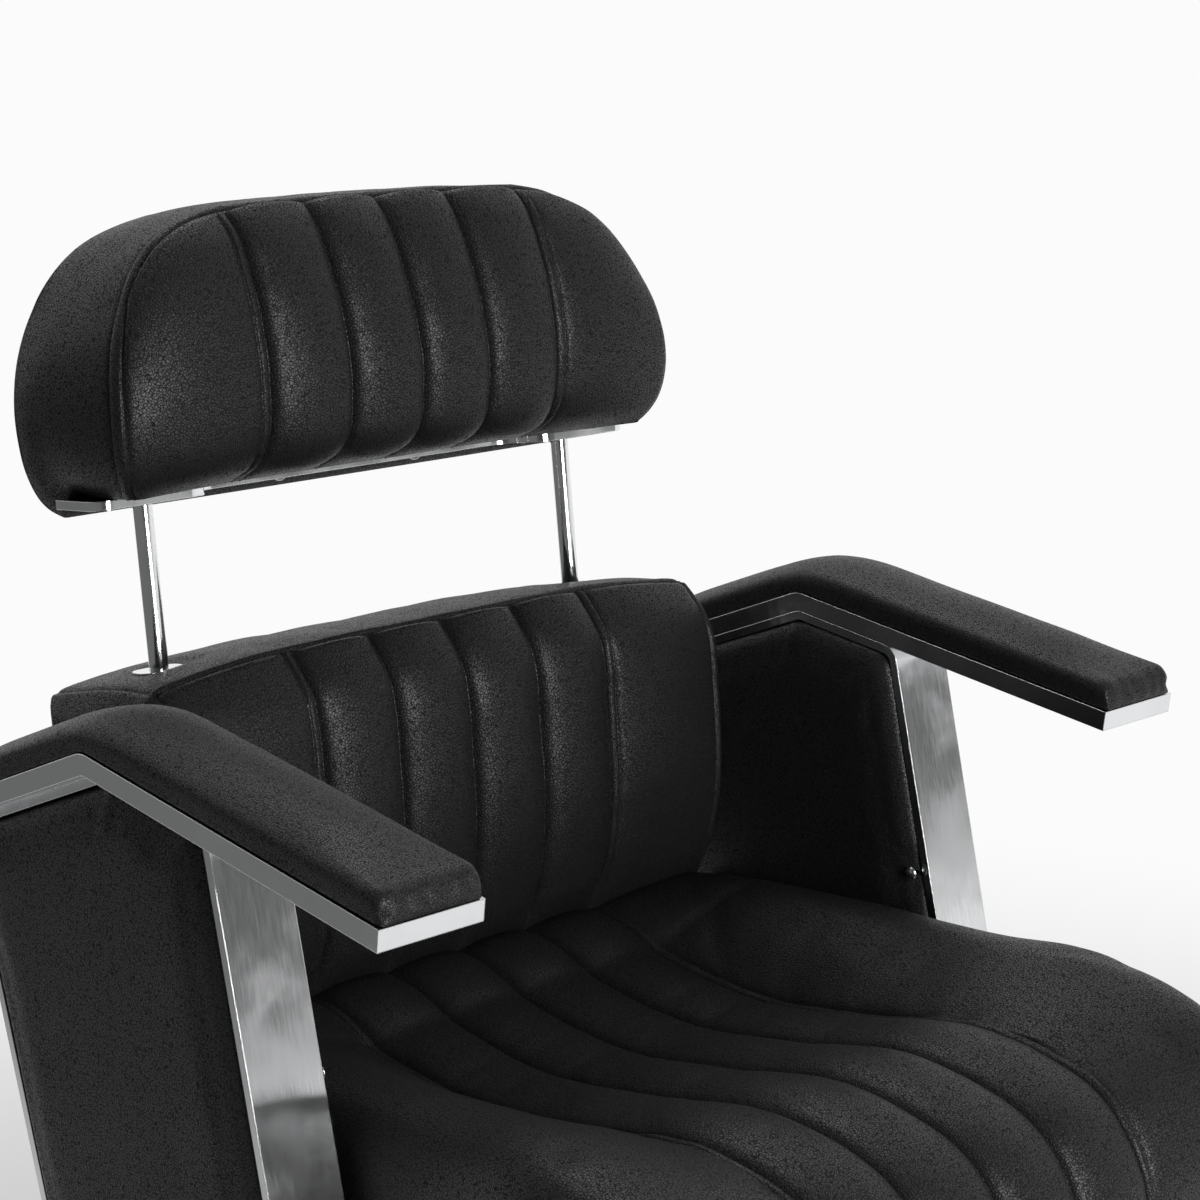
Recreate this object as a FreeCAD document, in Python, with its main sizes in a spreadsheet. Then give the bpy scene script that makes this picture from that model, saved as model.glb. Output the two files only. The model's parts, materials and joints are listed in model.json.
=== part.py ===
"""Threading chair: a reclining upholstered chair with a sliding headrest on a pump column.

The chair faces -Y. The column stands on the Z axis and the floor is at zero height.
The backrest and the headrest are drawn in a frame of their own, with its origin on the
recline pivot and its vertical along the headrest posts.
"""

import FreeCAD, Part
import math
import os

import Sketcher
from FreeCAD import Placement, Rotation, Vector

SIZES = {
    # Round base on the floor
    "base_width": 600.0,
    "floor_ring_wall": 10.0,
    "floor_ring_high": 14.0,
    "base_plate_thick": 8.0,
    "dish_rim_high": 15.0,
    "dish_crown_high": 58.0,
    "dish_hole_width": 124.0,
    "dish_bulge": 12.0,
    "dish_wall": 3.0,
    "collar_width": 146.0,
    "collar_high": 12.0,
    "collar_thick": 4.0,
    "collar_bulge": 1.5,
    # Pump housing and its bolts
    "pump_flange_width": 150.0,
    "pump_flange_thick": 10.0,
    "pump_width": 94.0,
    "pump_high": 150.0,
    "pump_bolt_circle": 122.0,
    "bolt_hole_width": 10.4,
    "bolt_width": 10.0,
    "bolt_head_width": 17.0,
    "bolt_head_thick": 6.5,
    # Column, guide and piston
    "column_width": 72.0,
    "column_wall": 6.0,
    "column_top_high": 255.0,
    "column_foot_high": 22.0,
    "guide_long": 50.0,
    "cap_width": 86.0,
    "cap_thick": 8.0,
    "piston_width": 45.0,
    "piston_head_thick": 20.0,
    "piston_low_high": 30.0,
    # Foot pedal at the rear
    "pedal_pivot_back": 68.0,
    "pedal_pivot_high": 102.0,
    "pedal_pin_width": 10.0,
    "pedal_eye_width": 26.0,
    "pedal_bar_wide": 24.0,
    "pedal_bar_thick": 10.0,
    "pedal_reach": 345.0,
    "pedal_tip_high": 112.0,
    "pedal_knee_back": 150.0,
    "pedal_knee_high": 132.0,
    "lug_thick": 9.0,
    "pedal_pad_long": 62.0,
    "pedal_pad_wide": 84.0,
    "pedal_pad_thick": 12.0,
    "pedal_groove": 5.0,
    "pedal_groove_deep": 2.5,
    "pedal_groove_count": 4,
    # Lift head under the seat
    "socket_wall": 8.0,
    "socket_long": 58.0,
    "mount_plate_overhang": 30.0,
    "mount_plate_deep": 210.0,
    "mount_plate_thick": 6.0,
    "mount_bolt_spacing": 150.0,
    "bearing_thick": 8.0,
    # Seat frame of square tubes
    "frame_high": 364.0,
    "tube_wide": 30.0,
    "tube_wall": 2.0,
    "rail_front": 235.0,
    "rail_back": 200.0,
    "cross_front_back": -8.0,
    "cross_rear_back": 160.0,
    "nose_tube_front": 215.0,
    "nose_tube_inset": 35.0,
    "seat_board_thick": 18.0,
    "seat_board_inset": 11.5,
    "seat_board_front": 262.0,
    "seat_board_back": 190.0,
    "seat_board_corner": 40.0,
    # Chrome arm bars
    "arm_span": 650.0,
    "arm_bar_wide": 68.7,
    "arm_bar_thick": 12.7,
    "arm_front": 140.0,
    "arm_front_high": 712.0,
    "arm_apex_back": 128.7,
    "arm_front_slope": 6.8,
    "arm_rear_slope": 22.4,
    "arm_rear_back": 330.0,
    "arm_bend": 22.0,
    # Upholstered arm pads
    "pad_crown": 26.0,
    "pad_edge_rise": 18.0,
    "pad_corner": 11.0,
    "pad_rear_inset": 14.0,
    # Chrome side frames of flat bar
    "side_bar_wide": 49.0,
    "side_bar_thick": 6.0,
    "side_bend": 14.0,
    "leg_lean": 13.6,
    "leg_face_back": 35.0,
    "leg_rear_foot_back": 205.0,
    "leg_rear_top_back": 300.0,
    # Upholstered side panels
    "panel_proud": 5.5,
    "panel_gap": 0.3,
    "panel_round": 13.0,
    "panel_corner": 16.0,
    "panel_lift": 34.0,
    "panel_screw_back": 12.0,
    "panel_screw_high": 568.0,
    "panel_screw_width": 9.0,
    "panel_screw_rise": 3.0,
    "panel_screw_shank": 4.5,
    "panel_screw_long": 20.0,
    # Recline pivot, its brackets, discs and arms
    "pivot_back": 226.0,
    "pivot_high": 380.0,
    "back_lean": 6.5,
    "bracket_thick": 6.0,
    "bracket_front_back": 110.0,
    "bracket_eye_width": 44.0,
    "disc_width": 54.0,
    "disc_thick": 12.0,
    "hub_width": 24.0,
    "arm_plate_thick": 5.0,
    "arm_plate_wide": 28.0,
    "arm_plate_long": 320.0,
    "arm_eye_width": 42.0,
    "arm_flange_wide": 24.0,
    "arm_flange_low": 165.0,
    # Release rod and lever
    "rod_width": 10.0,
    "lever_offset": 2.5,
    "lever_hub_width": 24.0,
    "lever_thick": 5.0,
    "lever_wide": 16.0,
    "lever_long": 165.0,
    "lever_rise": 14.0,
    "grip_long": 70.0,
    "grip_wide": 22.0,
    "grip_thick": 10.0,
    "grip_overlap": 6.0,
    # Footrest tube and tread
    "foot_tube_width": 25.4,
    "foot_tube_wall": 2.0,
    "foot_insert": 60.0,
    "foot_knee_front": 285.0,
    "foot_heel_front": 315.0,
    "foot_front": 390.0,
    "foot_high": 182.0,
    "foot_bend": 30.0,
    "tread_wide": 300.0,
    "tread_deep": 60.0,
    "tread_thick": 12.0,
    "tread_groove": 4.0,
    "tread_groove_deep": 2.0,
    "tread_groove_count": 5,
    # Seat cushion
    "cushion_gap": 0.4,
    "seat_side_gap": 4.3,
    "seat_front": 285.0,
    "seat_back": 211.0,
    "seat_dip_thick": 93.0,
    "seat_nose_thick": 131.0,
    "seat_rear_thick": 107.0,
    "seat_bolster": 42.0,
    "seam_deep": 5.0,
    # Backrest cushion, in the frame of the recline pivot
    "back_side_inset": 11.5,
    "back_band_deep": 13.0,
    "back_low": 140.5,
    "back_top_over_arms": 49.5,
    "back_top_drop": 10.5,
    "back_top_swell": 3.0,
    "back_shoulder_drop": 18.0,
    "back_seam_front": 59.0,
    "back_belly": 26.0,
    "back_rear": 57.5,
    "back_pocket_wall": 20.0,
    "back_pocket_top": 24.0,
    "back_pocket_deep": 46.0,
    "back_board_thick": 15.0,
    "back_board_gap": 4.0,
    "back_board_low": 152.0,
    "back_board_over_arms": 8.0,
    "back_bolt_width": 6.0,
    "back_bolt_head": 10.0,
    "back_bolt_head_thick": 4.0,
    "back_bolt_long": 17.0,
    "back_bolt_inset": 17.0,
    # Headrest, in the frame of the recline pivot
    "post_inset": 22.8,
    "post_width": 12.5,
    "post_back": 7.6,
    "post_long": 206.0,
    "guide_tube_width": 19.0,
    "guide_tube_long": 84.0,
    "guide_strap_high": 14.0,
    "guide_strap_thick": 2.5,
    "guide_strap_wide": 42.0,
    "guide_strap_gap": 1.9,
    "escutcheon_wide": 34.0,
    "escutcheon_deep": 22.0,
    "escutcheon_thick": 2.0,
    "escutcheon_corner": 9.0,
    "escutcheon_sink": 0.5,
    "plate_over_back": 114.3,
    "plate_thick": 6.0,
    "plate_reach": 45.8,
    "plate_rear": 34.0,
    "plate_lobe_front": 14.5,
    "plate_middle_front": 14.5,
    "plate_lobe_inward": 23.2,
    "plate_lobe_curve": 34.0,
    "plate_corner": 11.0,
    "plate_curve_rise": 4.0,
    "head_overhang": 5.0,
    "head_high": 178.0,
    "head_rear": 55.0,
    "head_seam_front": 39.0,
    "head_belly": 30.0,
    "head_lip": 14.5,
    "head_lip_front": 37.0,
    "head_board_thick": 12.0,
    "head_board_inset": 31.0,
    "head_board_high": 70.0,
    "head_screw_width": 5.0,
    "head_screw_head": 9.0,
    "head_screw_long": 26.0,
    "head_screw_rise": 2.5,
    # Clearances
    "running_gap": 0.1,
    "side_gap": 0.3,
    "overrun": 2.0,
}

# Outlines as shares of the sizes that they follow.
# Double seams: share of the half width of the seat and backrest, and of the headrest. Single
# seams: share of the way from the middle to the double seam.
DOUBLE_SEAM_SHARE = 0.503
SINGLE_SEAM_SHARE = 0.484
HEAD_DOUBLE_SEAM_SHARE = 0.54
HEAD_SINGLE_SEAM_SHARE = 0.467
# Backrest front: share of the height above the lower edge, share of the belly past the seam.
BACK_FRONT_SHARES = [(0.966, 0.29), (0.891, 0.80), (0.63, 1.0), (0.345, 0.835), (0.21, 0.54), (0.0, -0.42)]
# Backrest sides: share of the way from the band seam to the edge, then shares of the belly:
# drop of the front top and rear top, pull of the front and rear, rise of the lower edge.
BACK_RIM_SHARES = [(0.65, 0.25, 0.3, 0.15, 1.2, 0.2), (1.0, 1.1, 1.2, 0.75, 2.8, 0.9)]
# Headrest front, centre: the same pairs as the backrest's from the plate up.
HEAD_FRONT_SHARES = [(0.885, 0.30), (0.63, 0.76), (0.35, 1.0), (0.117, 0.65), (0.04, -0.03), (0.0, -0.78)]
# Headrest ends: shares of the half width, the height, the seam's and the belly's depth,
# then of the height by which the lower edge rises, and of the lip's depth.
HEAD_END_SHARES = [
    (0.64, 0.955, 1.03, 0.95, 0.0, 1.0),
    (0.73, 0.918, 1.10, 0.85, 0.0, 1.0),
    (0.84, 0.826, 1.21, 0.62, 0.0, 1.0),
    (0.907, 0.68, 1.38, 0.36, 0.0, 0.9),
    (0.956, 0.512, 1.45, 0.20, 0.01, 0.5),
    (1.0, 0.29, 1.42, 0.10, 0.14, 0.1),
]
# Headrest top and lip: shares of the seam's depth and of the lip's depth.
HEAD_TOP_SEAM_SHARE = 0.4
HEAD_LIP_FRONT_SHARE = 0.5
HEAD_LIP_REAR_SHARE = 0.4
# Seat outline: shares of the length behind the front, or in front of the rear.
SEAT_TUCK_SHARE = 0.035
SEAT_REAR_ROUND_SHARES = (0.008, 0.03)
SEAT_CLIMB_SHARES = (0.20, 0.36)
SEAT_NOSE_SHARES = (0.56, 0.78)
SEAT_FRONT_ROUND_SHARE = 0.055
# Seat outline: shares of a thickness by which it drops, and of a climb at its middle.
SEAT_REAR_DROP_SHARES = (0.16, 0.05)
SEAT_FRONT_DROP_SHARES = (0.16, 0.52)
SEAT_CLIMB_HIGH_SHARES = (0.33, 0.42)
# Seat sides: share of the way from the double seam to the edge, share of the bolster's rise,
# share of the bolster by which the front draws in.
SEAT_SIDE_SHARES = [
    (0.0, 0.0, 0.0),
    (0.45, 0.60, 0.0),
    (0.80, 1.0, 0.0),
    (0.93, 0.86, 0.29),
    (1.0, 0.36, 0.44),
]
# How much of the bolster's rise reaches the nose and the rear, and of the draw the rear.
SEAT_NOSE_LIFT_SHARE = 0.45
SEAT_REAR_LIFT_SHARE = 0.1
SEAT_REAR_DRAW_SHARE = 0.3
# Arm pad: share of the way from the front end to the apex, or from the apex to the rear end,
# share of the crown, share of the side's rise.
PAD_FRONT_SHARES = [
    (0.0, 0.35, 0.30),
    (0.025, 0.64, 0.60),
    (0.08, 0.86, 0.86),
    (0.22, 0.98, 0.98),
    (0.55, 1.03, 1.03),
    (0.83, 0.96, 0.96),
    (0.94, 0.78, 0.79),
]
PAD_REAR_SHARES = [
    (0.0, 0.64, 0.66),
    (0.13, 0.73, 0.74),
    (0.30, 0.80, 0.82),
    (0.65, 0.82, 0.84),
    (0.90, 0.72, 0.72),
    (0.965, 0.54, 0.50),
    (1.0, 0.33, 0.28),
]
# Arm pad's upper corner: shares of its size inward at the crown and at the arc's middle,
# and of its height there.
PAD_INSET_SHARE = 0.9
PAD_LEAN_SHARE = 0.22
PAD_RISE_SHARE = 0.72
# Places along a piece, and the reach of a rounded end on its diagonal.
STRAP_PLACE_SHARES = (0.15, 0.6)
BACK_BOLT_SHARES = (0.226, 0.806)
HEAD_SCREW_SHARES = (-0.8, -0.3, 0.3, 0.8)
EYE_DIAGONAL_SHARE = 0.7
LUG_ROUND_SHARE = 0.98
GRIP_ROUND_SHARE = 0.9


class Size:
    """A length, an angle or a count of the sheet, or one worked out of them, with its formula."""

    def __init__(self, number, formula):
        self.number = float(number)
        self.formula = formula

    def __float__(self):
        return self.number

    def joined(self, other, sign, number):
        text = other.formula if isinstance(other, Size) else repr(other)
        return Size(number, f"({self.formula} {sign} {text})")

    def __add__(self, other):
        return self.joined(other, "+", self.number + float(other))

    def __sub__(self, other):
        return self.joined(other, "-", self.number - float(other))

    def __mul__(self, other):
        return self.joined(other, "*", self.number * float(other))

    def __rmul__(self, other):
        return self * other

    def __truediv__(self, other):
        return self.joined(other, "/", self.number / float(other))

    def __neg__(self):
        return Size(-self.number, f"(-1 * {self.formula})")


def turned(name, function, angle):
    """A sine, cosine or tangent of an angle in degrees, as a size."""
    return Size(function(math.radians(angle.number)), f"{name}({angle.formula} * 1 deg)")


def sine(angle):
    return turned("sin", math.sin, angle)


def cosine(angle):
    return turned("cos", math.cos, angle)


def tangent(angle):
    return turned("tan", math.tan, angle)


doc = FreeCAD.newDocument("ThreadingChair")
sheet = doc.addObject("Spreadsheet::Sheet", "sizes")
for line, (title, amount) in enumerate(SIZES.items(), start=1):
    sheet.set(f"A{line}", title)
    sheet.set(f"B{line}", str(amount))
    sheet.setAlias(f"B{line}", title)
doc.recompute()


class Named:
    """The sheet's cells as sizes, by name."""

    def __getattr__(self, title):
        return Size(SIZES[title], f"sizes.{title}")


s = Named()
ZERO = Size(0, "0")
pieces = []


# Helpers for sketched pieces

def body(title):
    """An empty sketched piece."""
    part = doc.addObject("PartDesign::Body", title)
    part.Label = title
    pieces.append(part)
    return part


def put(part, x=ZERO, y=ZERO, z=ZERO):
    """Place a piece at a point that follows the sheet."""
    part.Placement = Placement(Vector(float(x), float(y), float(z)), Rotation())
    for axis, amount in zip("xyz", (x, y, z)):
        if amount is not ZERO:
            part.setExpression(f"Placement.Base.{axis}", amount.formula)
    return part


def lean(part, x=ZERO):
    """Place a piece in the backrest's own frame, on the recline pivot and leaning back."""
    part.Placement = back_frame(float(x))
    part.setExpression("Placement.Base.x", x.formula)
    part.setExpression("Placement.Base.y", s.pivot_back.formula)
    part.setExpression("Placement.Base.z", s.pivot_high.formula)
    part.setExpression("Placement.Rotation.Angle", s.back_lean.formula)
    return part


def back_frame(x=0.0):
    """The backrest's frame as a placement, moved sideways."""
    pivot = Vector(x, float(s.pivot_back), float(s.pivot_high))
    return Placement(pivot, Rotation(Vector(-1, 0, 0), float(s.back_lean)))


def sketch(part, role, outlines, lift=None):
    """A sketch on one of a piece's own planes, with every corner bound to the sheet.

    An outline is a list of corners (x, y), or (x, y, rise) where the line that leaves the
    corner is an arc that rises to the left of its chord, or a circle (x, y, "circle", radius).
    """
    drawing = part.newObject("Sketcher::SketchObject", f"{part.Name}_sketch")
    plane = next(item for item in part.Origin.OriginFeatures if item.Role == role)
    drawing.AttachmentSupport = [(plane, "")]
    drawing.MapMode = "FlatFace"
    if lift is not None:
        drawing.AttachmentOffset = Placement(Vector(0, 0, float(lift)), Rotation())
        drawing.setExpression("AttachmentOffset.Base.z", lift.formula)
    for outline in outlines:
        if "circle" in outline:
            draw_circle(drawing, outline)
        else:
            draw_corners(drawing, outline)
    return drawing


def bind(drawing, kind, *where, amount):
    """Add a dimension and bind it to the sheet."""
    number = drawing.addConstraint(Sketcher.Constraint(kind, *where, float(amount)))
    drawing.setExpression(f"Constraints[{number}]", amount.formula)


def draw_circle(drawing, outline):
    x, y, _, radius = outline
    round_line = Part.Circle(Vector(float(x), float(y), 0), Vector(0, 0, 1), float(radius))
    item = drawing.addGeometry(round_line, False)
    bind(drawing, "DistanceX", item, 3, amount=x)
    bind(drawing, "DistanceY", item, 3, amount=y)
    bind(drawing, "Radius", item, amount=radius)


def draw_corners(drawing, corners):
    """Draw a closed outline. Each item keeps which of its two ends the outline enters by."""
    items = []
    for corner, after in zip(corners, corners[1:] + corners[:1]):
        start = Vector(float(corner[0]), float(corner[1]), 0)
        end = Vector(float(after[0]), float(after[1]), 0)
        if len(corner) == 2:
            items.append((drawing.addGeometry(Part.LineSegment(start, end), False), 1, 2))
            continue
        rise = float(corner[2])
        radius = float(arc_radius(corner, after))
        chord = end - start
        left = Vector(-chord.y, chord.x, 0).normalize()
        centre = (start + end) * 0.5 + left * (rise - math.copysign(radius, rise))
        first, last = (start, end) if rise < 0 else (end, start)
        turns = [math.atan2(place.y - centre.y, place.x - centre.x) for place in (first, last)]
        circle = Part.Circle(centre, Vector(0, 0, 1), radius)
        item = drawing.addGeometry(Part.ArcOfCircle(circle, *turns), False)
        items.append((item, 1, 2) if rise < 0 else (item, 2, 1))
    for (item, _, leaves), (following, enters, _) in zip(items, items[1:] + items[:1]):
        drawing.addConstraint(Sketcher.Constraint("Coincident", item, leaves, following, enters))
    for (item, enters, _), corner, after in zip(items, corners, corners[1:] + corners[:1]):
        bind(drawing, "DistanceX", item, enters, amount=corner[0])
        bind(drawing, "DistanceY", item, enters, amount=corner[1])
        if len(corner) == 3:
            bind(drawing, "Radius", item, amount=arc_radius(corner, after))


def arc_radius(corner, after):
    """The radius of an arc from its chord and its rise."""
    across = after[0] - corner[0]
    along = after[1] - corner[1]
    rise = corner[2] if float(corner[2]) > 0 else -corner[2]
    return (across * across + along * along) / (rise * 8) + rise / 2


def box_outline(x_low, x_high, y_low, y_high):
    return [(x_low, y_low), (x_high, y_low), (x_high, y_high), (x_low, y_high)]


def pad(part, drawing, length, both_ways=False, downward=False):
    """Extrude a sketch."""
    feature = part.newObject("PartDesign::Pad", f"{part.Name}_pad")
    feature.Profile = drawing
    feature.Length = float(length)
    feature.setExpression("Length", length.formula)
    if both_ways:
        feature.SideType = "Symmetric"
    feature.Reversed = downward
    part.Tip = feature
    doc.recompute()
    return feature


def pocket(part, drawing, length, both_ways=False, downward=False):
    """Cut a sketch into a piece, and see that it took something away."""
    before = part.Shape.Volume
    feature = part.newObject("PartDesign::Pocket", f"{part.Name}_pocket")
    feature.Profile = drawing
    feature.Length = float(length)
    feature.setExpression("Length", length.formula)
    if both_ways:
        feature.SideType = "Symmetric"
    feature.Reversed = downward
    part.Tip = feature
    doc.recompute()
    if not part.Shape.Volume < before:
        raise ValueError(f"a pocket of {part.Name} cuts nothing")
    return feature


def revolve(part, drawing):
    """Turn a sketch full circle about its own vertical axis."""
    feature = part.newObject("PartDesign::Revolution", f"{part.Name}_turn")
    feature.Profile = drawing
    feature.ReferenceAxis = (drawing, ["V_Axis"])
    feature.Angle = 360
    part.Tip = feature
    doc.recompute()
    return feature


def fillet(part, base, radius, chosen):
    """Round the edges that a test picks."""
    names = [f"Edge{number}" for number, edge in enumerate(base.Shape.Edges, start=1) if chosen(edge)]
    if not names:
        raise ValueError(f"no edge of {part.Name} to round")
    feature = part.newObject("PartDesign::Fillet", f"{part.Name}_round")
    feature.Base = (base, names)
    feature.Radius = float(radius)
    feature.setExpression("Radius", radius.formula)
    part.Tip = feature
    doc.recompute()
    return feature


def runs_along(edge, axis):
    """Whether a straight edge lies along an axis."""
    if not isinstance(edge.Curve, Part.Line):
        return False
    return abs(edge.tangentAt(edge.FirstParameter).dot(axis)) > 0.999


def extruded(title, role, outlines, length, both_ways=True, lift=None, downward=False):
    """A piece that is one sketch with a thickness."""
    part = body(title)
    pad(part, sketch(part, role, outlines, lift), length, both_ways, downward)
    return part


def turned_piece(title, outline):
    """A piece of revolution about the column's axis."""
    part = body(title)
    revolve(part, sketch(part, "XZ_Plane", [outline]))
    return part


# Helpers for pieces that no sketch fits

def shaped(title, shape, placement=None):
    """A piece with a shape of its own."""
    part = doc.addObject("Part::Feature", title)
    part.Label = title
    part.Shape = shape
    if placement is not None:
        part.Placement = placement
    pieces.append(part)
    return part


def point(x, y, z):
    return Vector(float(x), float(y), float(z))


def ring_of(radius, hole, thick, base, along):
    """A round bar along an axis, with a bore where the hole isn't zero."""
    bar = Part.makeCylinder(float(radius), float(thick), base, along)
    if float(hole) > 0:
        bar = bar.cut(Part.makeCylinder(float(hole), float(thick), base, along))
    return bar


def block(x_low, x_high, y_low, y_high, z_low, z_high):
    size = point(x_high, y_high, z_high) - point(x_low, y_low, z_low)
    return Part.makeBox(size.x, size.y, size.z, point(x_low, y_low, z_low))


def hex_bolt(head_width, head_thick, shank_width, shank_long, seat, along):
    """A bolt whose head lies against the seat and whose shank runs along the axis."""
    corners = []
    radius = float(head_width) / math.sqrt(3)
    for turn in range(7):
        angle = math.radians(60 * turn)
        corners.append(Vector(radius * math.cos(angle), radius * math.sin(angle), 0))
    head = Part.Face(Part.makePolygon(corners)).extrude(Vector(0, 0, -float(head_thick)))
    shank = Part.makeCylinder(float(shank_width) / 2, float(shank_long))
    bolt = head.fuse(shank).removeSplitter()
    bolt.Placement = Placement(seat, Rotation(Vector(0, 0, 1), along))
    return bolt


def dome_screw(head_width, rise, shank_width, shank_long, seat, along):
    """A domed screw head on the seat, with its shank along the axis behind it."""
    radius = (float(head_width) ** 2 / 4 + float(rise) ** 2) / (2 * float(rise))
    ball = Part.makeSphere(radius, Vector(0, 0, radius - float(rise)))
    head = ball.common(Part.makeCylinder(float(head_width) / 2, float(rise), Vector(0, 0, -float(rise))))
    screw = head.fuse(Part.makeCylinder(float(shank_width) / 2, float(shank_long)))
    screw.Placement = Placement(seat, Rotation(Vector(0, 0, 1), along))
    return screw


def offset_corners(corners, distances):
    """Move each side of a closed outline inward by its own distance and find the new corners.

    The outline runs clockwise. Side number n goes from corner n to the next one.
    """
    lines = []
    for number, start in enumerate(corners):
        end = corners[(number + 1) % len(corners)]
        along = (end - start).normalize()
        inward = Vector(0, along.z, -along.y)
        lines.append((start + inward * distances[number], along))
    moved = []
    for number, (base, along) in enumerate(lines):
        other, past = lines[number - 1]
        gap = base - other
        reach = (gap.y * along.z - gap.z * along.y) / (past.y * along.z - past.z * along.y)
        moved.append(other + past * reach)
    return moved


def edge_chain(steps):
    """A closed wire from a start point and steps of either a point or a (via, point) pair."""
    start = steps[0]
    here = start
    edges = []
    for step in steps[1:]:
        if isinstance(step, tuple):
            via, there = step
            edges.append(Part.Arc(here, via, there).toShape())
        else:
            there = step
            edges.append(Part.makeLine(here, there))
        here = there
    edges.append(Part.makeLine(here, start))
    return Part.Wire(edges)


def loft(wires):
    return Part.makeLoft(wires, True, False)


def joined(parts):
    """One solid out of lofts that share their end sections."""
    whole = parts[0].multiFuse(parts[1:]).removeSplitter()
    if len(whole.Solids) != 1:
        raise ValueError("the lofts don't join into one solid")
    return whole.Solids[0]


# Shared places

column_radius = s.column_width / 2
column_bore = column_radius - s.column_wall
piston_radius = s.piston_width / 2
rail_low = s.frame_high - s.tube_wide
mount_plate_low = rail_low - s.mount_plate_thick
socket_low = mount_plate_low - s.socket_long
piston_top = mount_plate_low - s.bearing_thick
board_low = s.frame_high + s.tube_wide
cushion_low = board_low + s.seat_board_thick + s.cushion_gap
arm_inner = s.arm_span / 2 - s.arm_bar_wide
arm_centre = s.arm_span / 2 - s.arm_bar_wide / 2
side_centre = arm_inner + s.side_bar_wide / 2
apex_high = s.arm_front_high + (s.arm_front + s.arm_apex_back) * tangent(s.arm_front_slope)
seat_edge = arm_inner - s.panel_proud - s.seat_side_gap
seat_board_half = seat_edge - s.seat_board_inset
double_seam = seat_edge * DOUBLE_SEAM_SHARE
single_seam = double_seam * SINGLE_SEAM_SHARE
back_edge = seat_edge - s.back_side_inset
back_band = back_edge - s.back_band_deep
back_pocket_half = back_band - s.back_pocket_wall
back_board_half = back_pocket_half - s.back_board_gap
post_x = back_board_half - s.post_inset
arm_flange_end = post_x - s.guide_strap_wide / 2 - s.guide_strap_gap
arm_plate_inner = arm_flange_end - s.arm_flange_wide
disc_inner = arm_plate_inner - s.disc_thick - s.side_gap
bracket_centre = disc_inner - s.bracket_thick / 2
rail_centre = disc_inner - s.bracket_thick - s.tube_wide / 2
back_top_front = s.arm_plate_long + s.back_top_over_arms
back_top_rear = back_top_front - s.back_top_drop
escutcheon_low = back_top_rear - s.escutcheon_sink
plate_top = back_top_rear + s.plate_over_back
plate_half = post_x + s.plate_reach
plate_lobe_start = post_x - s.plate_lobe_inward
plate_middle_end = plate_lobe_start - s.plate_lobe_curve
head_edge = plate_half + s.head_overhang
head_double_seam = head_edge * HEAD_DOUBLE_SEAM_SHARE
head_board_half = plate_half - s.head_board_inset
board_rear = s.post_back - s.guide_tube_width / 2 - s.side_gap
board_front = board_rear - s.back_board_thick


def bar_top(back):
    """Height of the arm bar's top face at a distance behind the column's axis."""
    if float(back) <= float(s.arm_apex_back):
        return s.arm_front_high + (s.arm_front + back) * tangent(s.arm_front_slope)
    return apex_high - (back - s.arm_apex_back) * tangent(s.arm_rear_slope)


def bar_underside(back):
    """Height of the arm bar's lower face there."""
    if float(back) <= float(s.arm_apex_back):
        return bar_top(back) - s.arm_bar_thick / cosine(s.arm_front_slope)
    return bar_top(back) - s.arm_bar_thick / cosine(s.arm_rear_slope)


def apex_underside():
    """The corner of the arm bar's lower face under the apex, as a distance back and a height."""
    front_drop = s.arm_bar_thick / cosine(s.arm_front_slope)
    rear_drop = s.arm_bar_thick / cosine(s.arm_rear_slope)
    slopes = tangent(s.arm_front_slope) + tangent(s.arm_rear_slope)
    back = s.arm_apex_back - (rear_drop - front_drop) / slopes
    high = s.arm_front_high + (s.arm_front + back) * tangent(s.arm_front_slope) - front_drop
    return back, high


def leg_back(high):
    """How far back the front leg's face lies at a height: it leans forward going down."""
    return s.leg_face_back - (s.arm_front_high - high) * tangent(s.leg_lean)


# Base

def make_base():
    plate_radius = s.base_width / 2 - s.floor_ring_wall
    plate = extruded("base_plate", "XY_Plane", [(ZERO, ZERO, "circle", plate_radius)],
                     s.base_plate_thick, both_ways=False)
    holes = []
    for turn in (1, 3, 5, 7):
        angle = math.radians(45 * turn)
        x = s.pump_bolt_circle / 2 * round(math.cos(angle), 6)
        y = s.pump_bolt_circle / 2 * round(math.sin(angle), 6)
        holes.append((x, y, "circle", s.bolt_hole_width / 2))
    pocket(plate, sketch(plate, "XY_Plane", holes, s.base_plate_thick), s.base_plate_thick)

    inner = plate_radius + s.running_gap
    outer = s.base_width / 2
    ring = turned_piece("floor_ring", box_outline(inner, outer, ZERO, s.floor_ring_high))
    fillet(ring, ring.Tip, s.floor_ring_wall / 3, is_top_rim(outer, s.floor_ring_high))

    hole = s.dish_hole_width / 2
    rim = plate_radius - s.running_gap
    low = s.base_plate_thick
    turned_piece("base_dish", [
        (rim, low),
        (rim, s.dish_rim_high, -s.dish_bulge),
        (hole, s.dish_crown_high),
        (hole, s.dish_crown_high - s.dish_wall, s.dish_bulge),
        (rim - s.dish_wall, s.dish_rim_high - s.dish_wall),
        (rim - s.dish_wall, low),
    ])
    seat = s.dish_crown_high + s.side_gap
    bore = s.pump_width / 2 + s.side_gap
    lip = hole - s.side_gap
    turned_piece("base_collar", [
        (bore, seat - s.collar_thick),
        (lip, seat - s.collar_thick),
        (lip, seat),
        (s.collar_width / 2, seat),
        (s.collar_width / 2, seat + s.collar_thick, -s.collar_bulge),
        (bore, seat + s.collar_high),
    ])
    return holes


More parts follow.
